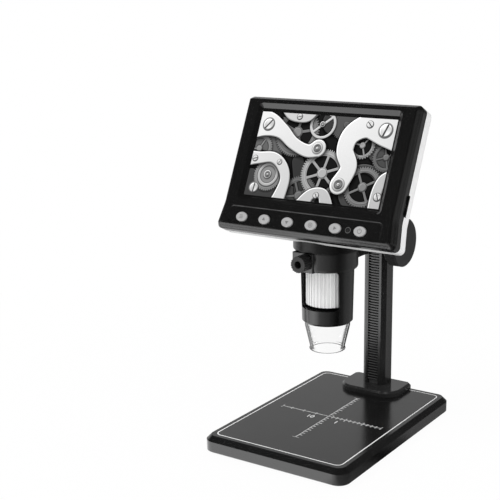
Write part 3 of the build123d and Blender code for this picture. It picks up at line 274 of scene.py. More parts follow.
def softShade(name):
    # soft shade between the layers of the picture; its strength is stored on the mesh
    material, tree, shader = newMaterial(name)
    tree.nodes.remove(shader)
    depth = addNode(tree, "ShaderNodeAttribute", attribute_name="tone")
    clear = addNode(tree, "ShaderNodeBsdfTransparent")
    dark = addNode(tree, "ShaderNodeEmission", Color=grey(0.0))
    blend = addNode(tree, "ShaderNodeMixShader", Fac=depth.outputs["Fac"])
    tree.links.new(clear.outputs["BSDF"], blend.inputs[1])
    tree.links.new(dark.outputs["Emission"], blend.inputs[2])
    tree.links.new(blend.outputs["Shader"], tree.nodes["Material Output"].inputs["Surface"])
    return material


# level is the grey, grain how fine the surface is, strength how deep, and edge a radius in metres
plastics = {
    "glossyBlackMoulding": {"level": 0.006, "roughness": 0.16, "grain": 900, "strength": 0.05,
                            "specular": 0.9, "edge": 0.003},
    "baseTopBlack": {"level": 0.008, "roughness": 0.18, "grain": 1500, "strength": 0.05,
                     "specular": 0.9, "edge": 0.0005},
    "footBlack": {"level": 0.024, "roughness": 0.14, "grain": 1200, "strength": 0.04,
                  "specular": 0.8, "edge": 0.0004},
    "columnSatinBlack": {"level": 0.012, "roughness": 0.25, "grain": 1800, "strength": 0.1, "specular": 1.0},
    "rackBlack": {"level": 0.01, "roughness": 0.2, "grain": 2200, "strength": 0.05,
                  "specular": 0.8, "edge": 0.0},
    "bracketBlack": {"level": 0.008, "roughness": 0.22, "grain": 2600, "strength": 0.1,
                     "specular": 1.0, "edge": 0.0005},
    "knobBlack": {"level": 0.018, "roughness": 0.4, "grain": 3000, "strength": 0.2, "edge": 0.0002},
    "collarBlack": {"level": 0.006, "roughness": 0.24, "grain": 2400, "strength": 0.1,
                    "specular": 0.3, "edge": 0.0004},
    "tubeBlack": {"level": 0.004, "roughness": 0.16, "grain": 2400, "strength": 0.06,
                  "specular": 0.9, "edge": 0.0004},
    "insideBlack": {"level": 0.01, "roughness": 0.6, "grain": 1600, "strength": 0.2,
                    "specular": 0.25, "edge": 0.0},
    "shellWhite": {"level": 0.86, "roughness": 0.32, "grain": 1400, "strength": 0.05,
                   "specular": 0.45, "edge": 0.0004, "drift": 0.012},
    "keySilver": {"level": 0.42, "roughness": 0.3, "grain": 2600, "strength": 0.08,
                  "specular": 0.9, "edge": 0.0007, "drift": 0.04},
    "footRubber": {"level": 0.02, "roughness": 0.75, "grain": 1500, "strength": 0.35, "specular": 0.3},
    "glideWhite": {"level": 0.7, "roughness": 0.4, "grain": 1200, "strength": 0.1,
                   "edge": 0.0002, "drift": 0.02},
    "boardGreen": {"level": 0.2, "roughness": 0.4, "grain": 800, "strength": 0.1,
                   "tint": (0.12, 0.6, 0.28), "edge": 0.0},
    "batterySleeve": {"level": 0.35, "roughness": 0.35, "grain": 600, "edge": 0.0},
    "trayGrey": {"level": 0.5, "roughness": 0.4, "grain": 900, "strength": 0.08, "edge": 0.0},
    "lampBoardWhite": {"level": 0.75, "roughness": 0.35, "grain": 900, "strength": 0.06, "edge": 0.0},
    "lampPhosphor": {"level": 0.8, "roughness": 0.4, "grain": 2000, "strength": 0.05,
                     "tint": (1.0, 0.86, 0.35), "edge": 0.0},
    "lampPipe": {"level": 0.02, "roughness": 0.12, "grain": 600, "strength": 0.03,
                 "specular": 0.9, "edge": 0.0004},
    "panelBlack": {"level": 0.006, "roughness": 0.22, "grain": 500, "strength": 0.02,
                   "specular": 0.3, "edge": 0.0},
    "wheelSilver": {"level": 0.9, "roughness": 0.25, "grain": 2000, "strength": 0.05,
                    "specular": 1.0, "edge": 0.0001, "drift": 0.01},
    "printWhite": {"level": 0.85, "roughness": 0.5, "grain": 4000, "strength": 0.1,
                   "specular": 0.3, "edge": 0.0},
    "printThin": {"level": 0.62, "roughness": 0.5, "grain": 4000, "strength": 0.1,
                  "specular": 0.3, "edge": 0.0},
    "markGrey": {"level": 0.18, "roughness": 0.5, "grain": 4000, "strength": 0.1,
                 "specular": 0.3, "edge": 0.0},
}
metals = {
    "screwSteel": {"colour": (0.5, 0.5, 0.51), "roughness": 0.3},
    "shaftSteel": {"colour": (0.6, 0.6, 0.6), "roughness": 0.22, "stretch": (30.0, 1.0, 1.0)},
    "insertBrass": {"colour": (0.78, 0.6, 0.28), "roughness": 0.3, "stretch": (1.0, 30.0, 1.0)},
    "socketPlate": {"colour": (0.68, 0.68, 0.68), "roughness": 0.25, "stretch": (30.0, 1.0, 1.0)},
}
finishes = {name: plastic(name, **values) for name, values in plastics.items()}
finishes.update({name: metal(name, **values) for name, values in metals.items()})
rollBezelEdges(finishes["glossyBlackMoulding"])
paintNotchShade(finishes["shellWhite"])
# painted shade in the grooves of the rack teeth and between the ribs of the focus wheel
paintGrooveShade(finishes["rackBlack"], reach=1.2 * mm, top=0.06, grooveShade=0.001)
paintGrooveShade(finishes["wheelSilver"], reach=0.8 * mm, top=0.97, grooveShade=0.3)
finishes["capClear"] = thinClearWall("capClear", openAlpha=0.03, turnsFrom=0.5, turnsTo=0.7)
finishes["lensClear"] = clearGlass("lensClear", (0.93, 0.96, 1.0), roughness=0.01, ior=1.52)

# every node by its finish; the keys, which aren't named here, are silver
nodeFinishes = {
    "baseTopBlack": ("base_plate",), "footRubber": ("rubber_feet",), "footBlack": ("column_foot",),
    "columnSatinBlack": ("column", "column_cap"), "rackBlack": ("column_rack",),
    "screwSteel": ("column_screws", "arm_screws", "case_screws", "board_screws"),
    "bracketBlack": ("carriage_block", "pinion_bush", "support_arm"), "glideWhite": ("glide_pad",),
    "insertBrass": ("clamp_insert",), "shaftSteel": ("pinion_shaft", "thumb_stud"),
    "knobBlack": ("focus_knob", "thumb_knob", "light_dial"), "glossyBlackMoulding": ("front_bezel",),
    "shellWhite": ("rear_shell",), "panelBlack": ("lcd_panel",), "trayGrey": ("backlight_tray",),
    "boardGreen": ("main_board", "key_board", "sensor_board"), "batterySleeve": ("battery",),
    "insideBlack": ("key_switches", "dial_pot", "lens_guide", "lens_cell"), "lampPipe": ("power_lamp",),
    "socketPlate": ("usb_socket", "card_socket"), "collarBlack": ("neck_collar",), "tubeBlack": ("barrel",),
    "lampBoardWhite": ("led_board",), "lampPhosphor": ("led_ring",), "capClear": ("clear_cap",),
    "wheelSilver": ("focus_wheel",), "lensClear": ("lens_glass",),
}
finishOf = {nodeName: finish for finish, names in nodeFinishes.items() for nodeName in names}
for nodeName, node in nodes.items():
    node.data.materials.clear()
    node.data.materials.append(finishes[finishOf.get(nodeName, "keySilver")])
print("materials")


# the picture on the screen, in millimetres from its middle: a watch movement, drawn in layers
picture = {"width": 95.04, "height": 53.86, "layerStep": 0.012, "discLift": 0.004, "shadeDrop": 0.3,
           "light": Vector((-0.55, 0.83)), "shadeFall": Vector((0.35, -0.5)), "holeShade": 0.8,
           "outerEdge": 0.9, "innerEdge": 1.12, "edgeContrast": 0.8, "faceContrast": 0.0045,
           "darkestEdge": 0.008}
heights = []
lit = {"points": [], "faces": [], "tones": []}
shade = {"points": [], "faces": [], "tones": []}


def polar(centre, radius, angle):
    return Vector((centre[0] + radius * math.cos(angle), centre[1] + radius * math.sin(angle)))


def circlePoints(centre, radius, count):
    return [polar(centre, radius, 2 * math.pi * k / count) for k in range(count)]


def arcPoints(centre, radius, start, end, steps):
    return [polar(centre, radius, start + (end - start) * k / steps) for k in range(steps + 1)]


def rectanglePoints(centre, halfLength, halfWidth, turn=0.0):
    along = Vector((math.cos(turn), math.sin(turn))) * halfLength
    across = Vector((-math.sin(turn), math.cos(turn))) * halfWidth
    return [Vector(centre) + along * a + across * b for a, b in ((-1, -1), (1, -1), (1, 1), (-1, 1))]


def smoothSpine(spine, steps=14):
    # points on a smooth curve through those of the spine, each with its half width
    ends = [spine[0], *spine, spine[-1]]
    samples = []
    for corners in zip(ends, ends[1:], ends[2:], ends[3:]):
        a, b, c, d = (Vector(corner) for corner in corners)
        for step in range(steps):
            t = step / steps
            samples.append(0.5 * ((2 * b) + (c - a) * t + (2 * a - 5 * b + 4 * c - d) * t * t
                                  + (3 * b - a - 3 * c + d) * t ** 3))
    return [*samples, Vector(spine[-1])]


def roundEnd(end, inner):
    # a half circle past the end of a spine
    along = end - inner
    turn = math.atan2(along.y, along.x)
    return [polar(end, end.z, turn + math.pi * (k / 12 - 0.5)) for k in range(1, 12)]


def strokePoints(spine):
    # the outline of a bar with round ends, from a spine of (x, y, half width)
    samples = smoothSpine(spine)
    last = len(samples) - 1
    left, right = [], []
    for index, sample in enumerate(samples):
        along = (samples[min(index + 1, last)] - samples[max(index - 1, 0)]).to_2d().normalized()
        side = Vector((-along.y, along.x)) * sample.z
        left.append(sample.to_2d() + side)
        right.append(sample.to_2d() - side)
    return right + roundEnd(samples[-1], samples[-2]) + left[::-1] + roundEnd(samples[0], samples[1])


def gearPoints(centre, radius, teeth, depth, turn):
    # each tooth goes up from its root, over its top and down again
    corners = ((0.0, 0.0), (0.18, 1.0), (0.5, 1.0), (0.68, 0.0))
    return [polar(centre, radius - depth + depth * rise, turn + 2 * math.pi * (tooth + share) / teeth)
            for tooth in range(teeth) for share, rise in corners]


def gearWindows(centre, inner, outer, spokes, halfWidth, turn):
    # the openings between the spokes
    windows = []
    outerTrim, innerTrim = halfWidth / outer, halfWidth / inner
    for spoke in range(spokes):
        start = turn + 2 * math.pi * spoke / spokes
        end = start + 2 * math.pi / spokes
        windows.append(arcPoints(centre, outer, start + outerTrim, end - outerTrim, 8)
                       + arcPoints(centre, inner, end - innerTrim, start + innerTrim, 4))
    return windows


def loopNormals(points):
    # the outward normals of a closed loop that runs counter-clockwise
    normals = []
    for before, after in zip(points[-1:] + points[:-1], points[1:] + points[:1]):
        along = (after - before).normalized()
        normals.append(Vector((along.y, -along.x)))
    return normals


def moved(points, normals, distance):
    return [point + normal * distance for point, normal in zip(points, normals)]


def inPicture(point):
    wide, high = picture["width"] / 2, picture["height"] / 2
    return (min(max(point.x, -wide), wide), min(max(point.y, -high), high))


def nextHeight():
    heights.append((len(heights) + 1) * picture["layerStep"])
    return heights[-1]


def store(target, points, faces, tones, height):
    start = len(target["points"])
    target["points"] += [(*inPicture(point), height) for point in points]
    target["faces"] += [[start + index for index in face] for face in faces]
    target["tones"] += tones


def storeRing(target, inner, outer, innerTones, outerTones, height):
    count = len(inner)
    faces = [(k, count + k, count + (k + 1) % count, (k + 1) % count) for k in range(count)]
    store(target, [*inner, *outer], faces, [*innerTones, *outerTones], height)


def edgeTones(normals, tone):
    return [max(picture["darkestEdge"], tone * (1.0 + picture["edgeContrast"] * normal.dot(picture["light"])))
            for normal in normals]


def fillTones(points, tone):
    return [tone * (1.0 + picture["faceContrast"] * point.dot(picture["light"])) for point in points]


def addPlate(outline, tone, edge, reach, depth=0.8, holes=()):
    # a flat part of the movement: soft shade round it, a bevelled rim and a face
    height = nextHeight()
    under = height - picture["layerStep"] * picture["shadeDrop"]
    outerTone, innerTone = tone * picture["outerEdge"], tone * picture["innerEdge"]
    normals = loopNormals(outline)
    fall = picture["shadeFall"] * reach
    faded = [point + fall for point in moved(outline, normals, reach)]
    storeRing(shade, outline, faded, [depth] * len(outline), [0.0] * len(outline), under)
    inner = moved(outline, normals, -edge)
    storeRing(lit, inner, outline, edgeTones(normals, innerTone), edgeTones(normals, outerTone), height)
    loops = [inner]
    for hole in holes:
        normals = loopNormals(hole)
        faded = moved(hole, normals, -reach * picture["holeShade"])
        storeRing(shade, faded, hole, [0.0] * len(hole), [depth] * len(hole), under)
        wider = moved(hole, normals, edge)
        inwards = [-normal for normal in normals]
        storeRing(lit, hole, wider, edgeTones(inwards, outerTone), edgeTones(inwards, innerTone), height)
        loops.append(wider)
    flat = [point for loop in loops for point in loop]
    faces = []
    for triangle in tessellate_polygon([[point.to_3d() for point in loop] for loop in loops]):
        a, b, c = (flat[index] for index in triangle)
        faces.append(triangle if (b - a).cross(c - a) > 0 else triangle[::-1])
    store(lit, flat, faces, fillTones(flat, tone), height)


def addDisc(centre, radius, tone, shine=0.0, turn=0.6):
    # a turned face: light and dark sectors, as on a lathe-cut screw head
    height = nextHeight() + picture["discLift"]
    count = 48
    rim = circlePoints(centre, radius, count)
    tones = [tone * (1.0 + shine * math.cos(2 * (2 * math.pi * k / count - turn))) for k in range(count)]
    faces = [(0, 1 + k, 1 + (k + 1) % count) for k in range(count)]
    store(lit, [Vector(centre), *rim], faces, [tone, *tones], height)


# the parts of a wheel, a screw and a jewel, as shares of the radius
gearShape = {"toothDepth": 0.075, "bandOutside": 0.84, "bandInside": 0.78, "rimInside": 0.72,
             "halfSpoke": 0.055, "hub": 0.24, "hubDisc": 0.192}
screwShape = {"seat": 1.22, "edge": 0.16, "face": 0.82, "halfSlot": 0.98, "slotSide": 0.14}
jewelShape = {"edge": 0.12, "stone": 0.74, "stoneEdge": 0.1, "stoneFace": 0.6, "pivot": 0.24,
              "pivotEdge": 0.07, "pivotHole": 0.09}


def scaled(shape, radius):
    return {part: share * radius for part, share in shape.items()}


def addGear(centre, radius, teeth, spokes, tone, turn):
    # a toothed wheel with a raised band and a hub, and with windows where it has spokes
    size = scaled(gearShape, radius)
    outline = gearPoints(centre, radius, teeth, size["toothDepth"], turn)
    windows = gearWindows(centre, size["hub"], size["rimInside"], spokes, size["halfSpoke"], turn)
    band, bandHole = (circlePoints(centre, size[side], 72) for side in ("bandOutside", "bandInside"))
    addPlate(outline, tone, edge=0.16, reach=1.1, depth=0.75, holes=windows)
    addPlate(band, tone * 1.15, edge=0.12, reach=0.3, depth=0.4, holes=[bandHole])
    addPlate(circlePoints(centre, size["hubDisc"], 36), tone * 1.25, edge=0.3, reach=0.6, depth=0.7)


def addScrew(centre, radius, turn, tone):
    # a dark seat, a turned head and its slot
    size = scaled(screwShape, radius)
    slot = rectanglePoints(centre, size["halfSlot"], size["slotSide"], turn)
    addPlate(circlePoints(centre, size["seat"], 48), tone * 0.3, edge=0.25, reach=0.25, depth=0.6)
    addPlate(circlePoints(centre, radius, 48), tone, size["edge"], reach=0.5)
    addDisc(centre, size["face"], tone, shine=0.22, turn=turn + 0.9)
    addPlate(slot, tone=0.06, edge=0.07, reach=0.01, depth=0.1)


def addJewel(centre, radius):
    # a bright setting, a dark stone with its shine, and the end of a pivot
    size = scaled(jewelShape, radius)
    addPlate(circlePoints(centre, radius, 48), 0.62, size["edge"], reach=0.7)
    addPlate(circlePoints(centre, size["stone"], 48), 0.12, size["stoneEdge"], reach=0.2, depth=0.5)
    addDisc(centre, size["stoneFace"], tone=0.2, shine=0.5, turn=0.3)
    addPlate(circlePoints(centre, size["pivot"], 30), 0.75, size["pivotEdge"], reach=0.3, depth=0.7)
    addDisc(centre, size["pivotHole"], tone=0.05)


def screenMesh(name, data, material):
    mesh = bpy.data.meshes.new(name)
    mesh.from_pydata(data["points"], [], data["faces"])
    colours = mesh.color_attributes.new(name="tone", type="FLOAT_COLOR", domain="POINT")
    for index, tone in enumerate(data["tones"]):
        colours.data[index].color = grey(tone)
    mesh.transform(screenMatrix())
    mesh.materials.append(material)
    piece = bpy.data.objects.new(name, mesh)
    bpy.context.scene.collection.objects.link(piece)
    return piece


ground = rectanglePoints((0, 0), picture["width"] / 2, picture["height"] / 2)
addPlate(ground, tone=0.012, edge=0.01, reach=0.01, depth=0.0)

# dark plates deep in the movement
deepPlates = [
    {"tone": 0.06, "edge": 0.5, "reach": 2.2,
     "outline": strokePoints([(-46, -20, 10), (-30, -22, 8), (-14, -26, 7)])},
    {"tone": 0.05, "edge": 0.5, "reach": 2.2,
     "outline": strokePoints([(6, 24, 9), (22, 26, 8), (40, 30, 6)])},
    {"tone": 0.08, "edge": 0.6, "reach": 2.0, "outline": circlePoints((33, -16), 15, 72),
     "holes": [circlePoints((33, -16), 9.5, 60)]},
    {"tone": 0.13, "edge": 0.5, "reach": 1.8,
     "outline": strokePoints([(-50, 8, 6), (-36, 6, 5), (-30, -4, 5)])},
    {"tone": 0.045, "edge": 0.4, "reach": 1.6, "outline": strokePoints([(-14, -3, 4), (-4, -28, 5)])},
    {"tone": 0.09, "edge": 0.4, "reach": 1.6,
     "outline": strokePoints([(38, 6, 5), (47, -2, 4), (50, -14, 4)])},
]
for plate in deepPlates:
    addPlate(**plate)

# wheels, the deepest first
gears = [
    {"centre": (14, 22), "radius": 10.0, "teeth": 44, "spokes": 0, "tone": 0.1, "turn": 0.4},
    {"centre": (-8, -24), "radius": 12.5, "teeth": 52, "spokes": 5, "tone": 0.15, "turn": 0.8},
    {"centre": (45, 4), "radius": 9.0, "teeth": 36, "spokes": 4, "tone": 0.16, "turn": 0.3},
    {"centre": (-44, 3), "radius": 9.5, "teeth": 38, "spokes": 3, "tone": 0.24, "turn": 1.1},
    {"centre": (-19, 15), "radius": 15.5, "teeth": 58, "spokes": 5, "tone": 0.2, "turn": 0.2},
    {"centre": (34, -15), "radius": 12.5, "teeth": 46, "spokes": 4, "tone": 0.24, "turn": 0.5},
    {"centre": (-33, -13), "radius": 10.5, "teeth": 42, "spokes": 0, "tone": 0.28, "turn": 0.1},
    {"centre": (5, -9), "radius": 15.0, "teeth": 60, "spokes": 6, "tone": 0.42, "turn": 0.35},
    {"centre": (28, 10), "radius": 8.5, "teeth": 30, "spokes": 3, "tone": 0.34, "turn": 0.9},
]
for gear in gears:
    addGear(**gear)

# the balance, a smooth rim on two arms, and a ring on one of the wheels
balance = {"centre": (-2, 21), "inner": 1.6, "outer": 7.4, "spokes": 2, "halfWidth": 0.8, "turn": 0.7}
balanceRim = circlePoints(balance["centre"], 9.0, 72)
addPlate(balanceRim, tone=0.62, edge=0.3, reach=1.0, holes=gearWindows(**balance))
ring = {"centre": (-33, -13), "outside": 7.4, "inside": 5.6}
ringHole = circlePoints(ring["centre"], ring["inside"], 54)
addPlate(circlePoints(ring["centre"], ring["outside"], 60), tone=0.5, edge=0.3, reach=0.8, holes=[ringHole])

# bright bridges over the wheels: spine points with half widths
bridges = [
    {"spine": [(-54, 18, 9), (-42, 19, 8.0), (-30, 15, 4.8), (-20, 8, 3.8), (-9, 4, 4.0), (-2, 6, 5.6)],
     "tone": 0.8},
    {"spine": [(-54, -4, 5.5), (-43, -3, 4.0), (-32, -2, 3.4), (-24, -7, 3.4), (-20, -16, 3.4),
               (-23, -32, 5)], "tone": 0.74},
    {"spine": [(-31, 33, 5), (-25, 25.5, 3.2), (-14, 25, 3.2), (-10, 33, 5)], "tone": 0.62},
    {"spine": [(-6, -34, 6), (0, -23, 3.6), (9, -22, 3.4), (14, -33, 5)], "tone": 0.68},
    {"spine": [(56, 18, 12), (43, 20, 10), (29, 22, 7.6), (19, 16, 6.4), (17, 6, 5.6), (22, -4, 5.4),
               (18, -15, 6.0)], "tone": 0.93},
    {"spine": [(58, -8, 5), (48, -9, 4), (44, -17, 3.4), (45, -32, 4.5)], "tone": 0.72},
]
for bridge in bridges:
    addPlate(strokePoints(bridge["spine"]), bridge["tone"], edge=0.6, reach=2.4, depth=0.95)

screws = [
    {"centre": (-41, 19), "radius": 3.6, "turn": 0.9, "tone": 0.82},
    {"centre": (41, 20), "radius": 4.0, "turn": 1.25, "tone": 0.9},
    {"centre": (-45, -3.4), "radius": 1.7, "turn": 0.4, "tone": 0.7},
    {"centre": (30, 23), "radius": 2.0, "turn": 2.4, "tone": 0.8},
    {"centre": (45.2, -20), "radius": 2.2, "turn": 2.0, "tone": 0.7},
    {"centre": (-41, -22), "radius": 3.0, "turn": 1.5, "tone": 0.7},
    {"centre": (-26.5, -4.5), "radius": 1.5, "turn": 1.1, "tone": 0.7},
    {"centre": (-19.5, 25), "radius": 1.7, "turn": 0.3, "tone": 0.7},
    {"centre": (4.5, -23), "radius": 1.7, "turn": 2.2, "tone": 0.7},
]
for screw in screws:
    addScrew(**screw)
jewels = [{"centre": (-2, 6), "radius": 3.4}, {"centre": (18, -15), "radius": 3.9},
          {"centre": (-33, -13), "radius": 2.6}, {"centre": (-2, 21), "radius": 1.8}]
for jewel in jewels:
    addJewel(**jewel)

screenPicture = screenMesh("screen_picture", lit, litPicture("pictureLit"))
screenShade = screenMesh("screen_shade", shade, softShade("pictureShade"))
for piece in (screenPicture, screenShade):
    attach(piece, "head")
print("screen", len(heights), "layers")


def deselect():
    bpy.ops.object.select_all(action="DESELECT")


# flat figures are modelled in millimetres about the origin, and finishFlat puts them in their places
def addFace(corners, radius):
    # a flat face about the origin; three corners make a triangle that points up
    deselect()
    bpy.ops.mesh.primitive_circle_add(vertices=corners, radius=radius, fill_type="NGON", location=(0, 0, 0))
    return bpy.context.object


def addBar(x, y, width, height):
    # a bar by its middle and its sizes
    deselect()
    bpy.ops.mesh.primitive_plane_add(size=1.0, location=(x, y, 0))
    bar = bpy.context.object
    bpy.ops.object.mode_set(mode="EDIT")
    bpy.ops.mesh.select_all(action="SELECT")
    bpy.ops.transform.resize(value=(width, height, 1.0), center_override=(x, y, 0))
    bpy.ops.object.mode_set(mode="OBJECT")
    return bar


def repeatAlong(piece, count, right, up):
    bpy.context.view_layer.objects.active = piece
    row = piece.modifiers.new("row", "ARRAY")
    row.count = count
    row.use_relative_offset = False
    row.use_constant_offset = True
    row.constant_offset_displace = (right, up, 0)
    bpy.ops.object.modifier_apply(modifier=row.name)
    return piece


def keepRim(piece, width):
    # a flat face becomes the strip along its outline
    bpy.context.view_layer.objects.active = piece
    bpy.ops.object.mode_set(mode="EDIT")
    bpy.ops.mesh.select_all(action="SELECT")
    bpy.ops.mesh.inset(thickness=width)
    bpy.ops.mesh.delete(type="FACE")
    bpy.ops.object.mode_set(mode="OBJECT")


def removeFaces(piece, unwanted):
    for part in (*piece.data.edges, *piece.data.vertices):
        part.select = False
    for face in piece.data.polygons:
        face.select = unwanted(face.center)
    bpy.context.view_layer.objects.active = piece
    bpy.ops.object.mode_set(mode="EDIT")
    bpy.ops.mesh.select_mode(type="FACE")
    bpy.ops.mesh.delete(type="FACE")
    bpy.ops.mesh.select_mode(type="VERT")
    bpy.ops.object.mode_set(mode="OBJECT")


def addRing(radius, width, gap=0.0):
    # a ring, open at its top by a gap in degrees
    circle = addFace(36, radius + width / 2)
    keepRim(circle, width)
    if gap > 0:
        removeFaces(circle, lambda middle: abs(math.degrees(math.atan2(middle.x, middle.y))) < gap / 2)
    return circle


def addArrow(radius, turn):
    # a triangle that points up before it is turned about its middle
    arrow = addFace(3, radius)
    arrow.data.transform(Matrix.Rotation(turn, 4, "Z"))
    return arrow


def finishFlat(figures, name, material, body, place, thickness=0.0):
    # joins the figures to one piece, gives it a thickness where one is named, and puts it in its place
    deselect()
    for figure in figures:
        figure.select_set(True)
    piece = figures[0]
    bpy.context.view_layer.objects.active = piece
    if len(figures) > 1:
        bpy.ops.object.join()
    bpy.ops.object.transform_apply(location=True, rotation=True, scale=True)
    if thickness > 0:
        solid = piece.modifiers.new("thickness", "SOLIDIFY")
        solid.thickness = thickness
        solid.offset = -1.0
        bpy.ops.object.modifier_apply(modifier=solid.name)
    piece.name = name
    piece.data.transform(place)
    piece.data.materials.clear()
    piece.data.materials.append(finishes[material])
    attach(piece, body)


# the print on the base, in millimetres: a border that stops at the foot, a cross with ticks, and numbers
printed = {"thickness": 0.04, "lift": 0.05}
border = {"halfWidth": 45.3, "halfLength": 66.3, "corner": 4.0, "line": 0.7, "footGap": 23.3}
cross = {
    "middle": (0.0, -4.5), "left": -35.5, "right": 39.0, "front": -44.0, "back": 33.0, "line": 0.5,
    "endTick": 4.8, "endLine": 0.3, "wideStep": 9.4, "wideTick": (0.7, 2.8),
    "fineRows": (
        {"start": (3.2, 0.0), "step": (3.2, 0.0), "size": (0.6, 3.4), "longer": (0.0, 1.4)},
        {"start": (1.1, 3.2), "step": (0.0, 3.2), "size": (2.2, 0.7), "longer": (0.7, 0.0)},
        {"start": (1.1, -3.2), "step": (0.0, -3.2), "size": (2.2, 0.7), "longer": (0.7, 0.0)},
    ),
}
numbers = {
    "number_ten": {"text": "10", "size": 5.6, "x": -10.2, "y": -12.2, "bolder": 0.04},
    "number_one": {"text": "1", "size": 5.6, "x": 9.4, "y": -12.6, "bolder": 0.04},
}
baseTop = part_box("base_plate")[1].z
printPlace = Matrix.Translation((0, 0, baseTop + printed["lift"] * mm)) @ Matrix.Scale(mm, 4)


def makeBorder():
    half = border["line"] / 2
    outline = addBar(0, 0, 2 * (border["halfWidth"] + half), 2 * (border["halfLength"] + half))
    bpy.ops.object.mode_set(mode="EDIT")
    bpy.ops.mesh.select_all(action="SELECT")
    bpy.ops.mesh.bevel(offset=border["corner"] + half, segments=8, affect="VERTICES")
    bpy.ops.object.mode_set(mode="OBJECT")
    keepRim(outline, border["line"])
    bpy.ops.object.mode_set(mode="EDIT")
    for side in (-1, 1):
        bpy.ops.mesh.select_all(action="SELECT")
        bpy.ops.mesh.bisect(plane_co=(side * border["footGap"], 0, 0), plane_no=(1, 0, 0))
    bpy.ops.object.mode_set(mode="OBJECT")
    removeFaces(outline, lambda middle: abs(middle.x) < border["footGap"] and middle.y > 0)
    finishFlat([outline], "base_border", "printWhite", "stand", printPlace,
               printed["thickness"])


def fineTicks(start, step, size, longer):
    # eleven ticks in one row, of which the fourth and the eighth are longer
    x, y = cross["middle"][0] + start[0], cross["middle"][1] + start[1]
    right, up = step
    short = repeatAlong(repeatAlong(addBar(x, y, *size), 3, right, up), 3, 4 * right, 4 * up)
    long = addBar(x + 3 * right + longer[0] / 2, y + 3 * up, size[0] + longer[0], size[1] + longer[1])
    return [short, repeatAlong(long, 2, 4 * right, 4 * up)]


def makeCross():
    x, y = cross["middle"]
    left, right, front, back = (cross[arm] for arm in ("left", "right", "front", "back"))
    wide, endTick, endLine = cross["wideStep"], cross["endTick"], cross["endLine"]
    bars = [addBar((left + right) / 2, y, right - left, cross["line"]),
            addBar(x, (front + back) / 2, cross["line"], back - front),
            repeatAlong(addBar(x - wide, y, *cross["wideTick"]), 3, -wide, 0)]
    for row in cross["fineRows"]:
        bars += fineTicks(**row)
    bars += [addBar(end, y, endLine, endTick) for end in (left, right)]
    bars += [addBar(x, end, endTick, endLine) for end in (front, back)]
    finishFlat(bars, "base_cross", "printThin", "stand", printPlace, printed["thickness"])


def addNumber(name, text, size, x, y, bolder):
    deselect()
    bpy.ops.object.text_add(location=(0, 0, 0))
    label = bpy.context.object
    label.data.body = text
    label.data.size = size
    label.data.align_x = "CENTER"
    label.data.extrude = printed["thickness"] / 2
    label.data.offset = bolder
    bpy.ops.object.convert(target="MESH")
    place = printPlace @ Matrix.Translation((x, y, -printed["thickness"] / 2))
    finishFlat([bpy.context.object], name, "printWhite", "stand", place)


makeBorder()
makeCross()
for numberName, values in numbers.items():
    addNumber(numberName, **values)
print("base print")

# marks of a generic kind on the six keys, each drawn round its key's middle; sizes in millimetres
keys = {"first": -43.7, "step": 16.7, "up": -41.5, "markHeight": 2.62}
marks = {"line": 0.4, "bar": 2.6, "barStep": 0.9, "arrow": 1.35, "ring": 1.3, "dot": 0.4, "gap": 70,
         "stemMiddle": 1.2, "stem": 1.5}
keyFigures = [
    lambda: [repeatAlong(addBar(0, -marks["barStep"], marks["bar"], marks["line"]), 3, 0, marks["barStep"])],
    lambda: [addArrow(marks["arrow"], 0)],
    lambda: [addArrow(marks["arrow"], math.pi)],
    lambda: [addRing(marks["ring"], marks["line"]), addRing(marks["dot"], marks["line"])],
    lambda: [addArrow(marks["arrow"], -math.pi / 2)],
    lambda: [addRing(marks["ring"], marks["line"], marks["gap"]),
             addBar(0, marks["stemMiddle"], marks["line"], marks["stem"])],
]
for index, makeFigures in enumerate(keyFigures):
    place = screenMatrix(keys["first"] + keys["step"] * index, keys["up"], keys["markHeight"])
    finishFlat(makeFigures(), f"key_mark_{index + 1}", "markGrey", f"key_{index + 1}", place)

# a thin grey ring laid flat on the panel round the power lamp
lampRing = {"right": 31.7, "up": -41.5, "out": 1.72, "radius": 1.7, "width": 0.18}
place = screenMatrix(lampRing["right"], lampRing["up"], lampRing["out"])
finishFlat([addRing(lampRing["radius"], lampRing["width"])], "power_lamp_ring", "markGrey", "head",
           place)

# round spots of phosphor on the eight lamps under the tube, in millimetres
lampSpots = {"count": 8, "radius": 1.0, "depth": 0.1, "rim": 0.03, "circle": 10.2, "sink": 0.03}
lampLow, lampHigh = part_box("led_ring")
lampMiddle = (lampLow + lampHigh) / 2
deselect()
bpy.ops.mesh.primitive_cylinder_add(vertices=24, radius=lampSpots["radius"] * mm,
                                    depth=lampSpots["depth"] * mm, location=(0, 0, 0))
firstSpot = bpy.context.object
rim = firstSpot.modifiers.new("rim", "BEVEL")
rim.width = lampSpots["rim"] * mm
bpy.ops.object.modifier_apply(modifier=rim.name)
firstSpot.data.materials.append(finishes["lampPhosphor"])
spots = [firstSpot]
for k in range(lampSpots["count"] - 1):
    spot = firstSpot.copy()
    spot.data = firstSpot.data.copy()
    bpy.context.scene.collection.objects.link(spot)
    spots.append(spot)
for k, spot in enumerate(spots):
    place = polar(lampMiddle, lampSpots["circle"] * mm, 2 * math.pi * k / lampSpots["count"])
    spot.name = f"lamp_spot_{k + 1}"
    spot.data.transform(Matrix.Translation((place.x, place.y, lampLow.z - lampSpots["sink"] * mm)))
    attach(spot, "head")
print("marks")


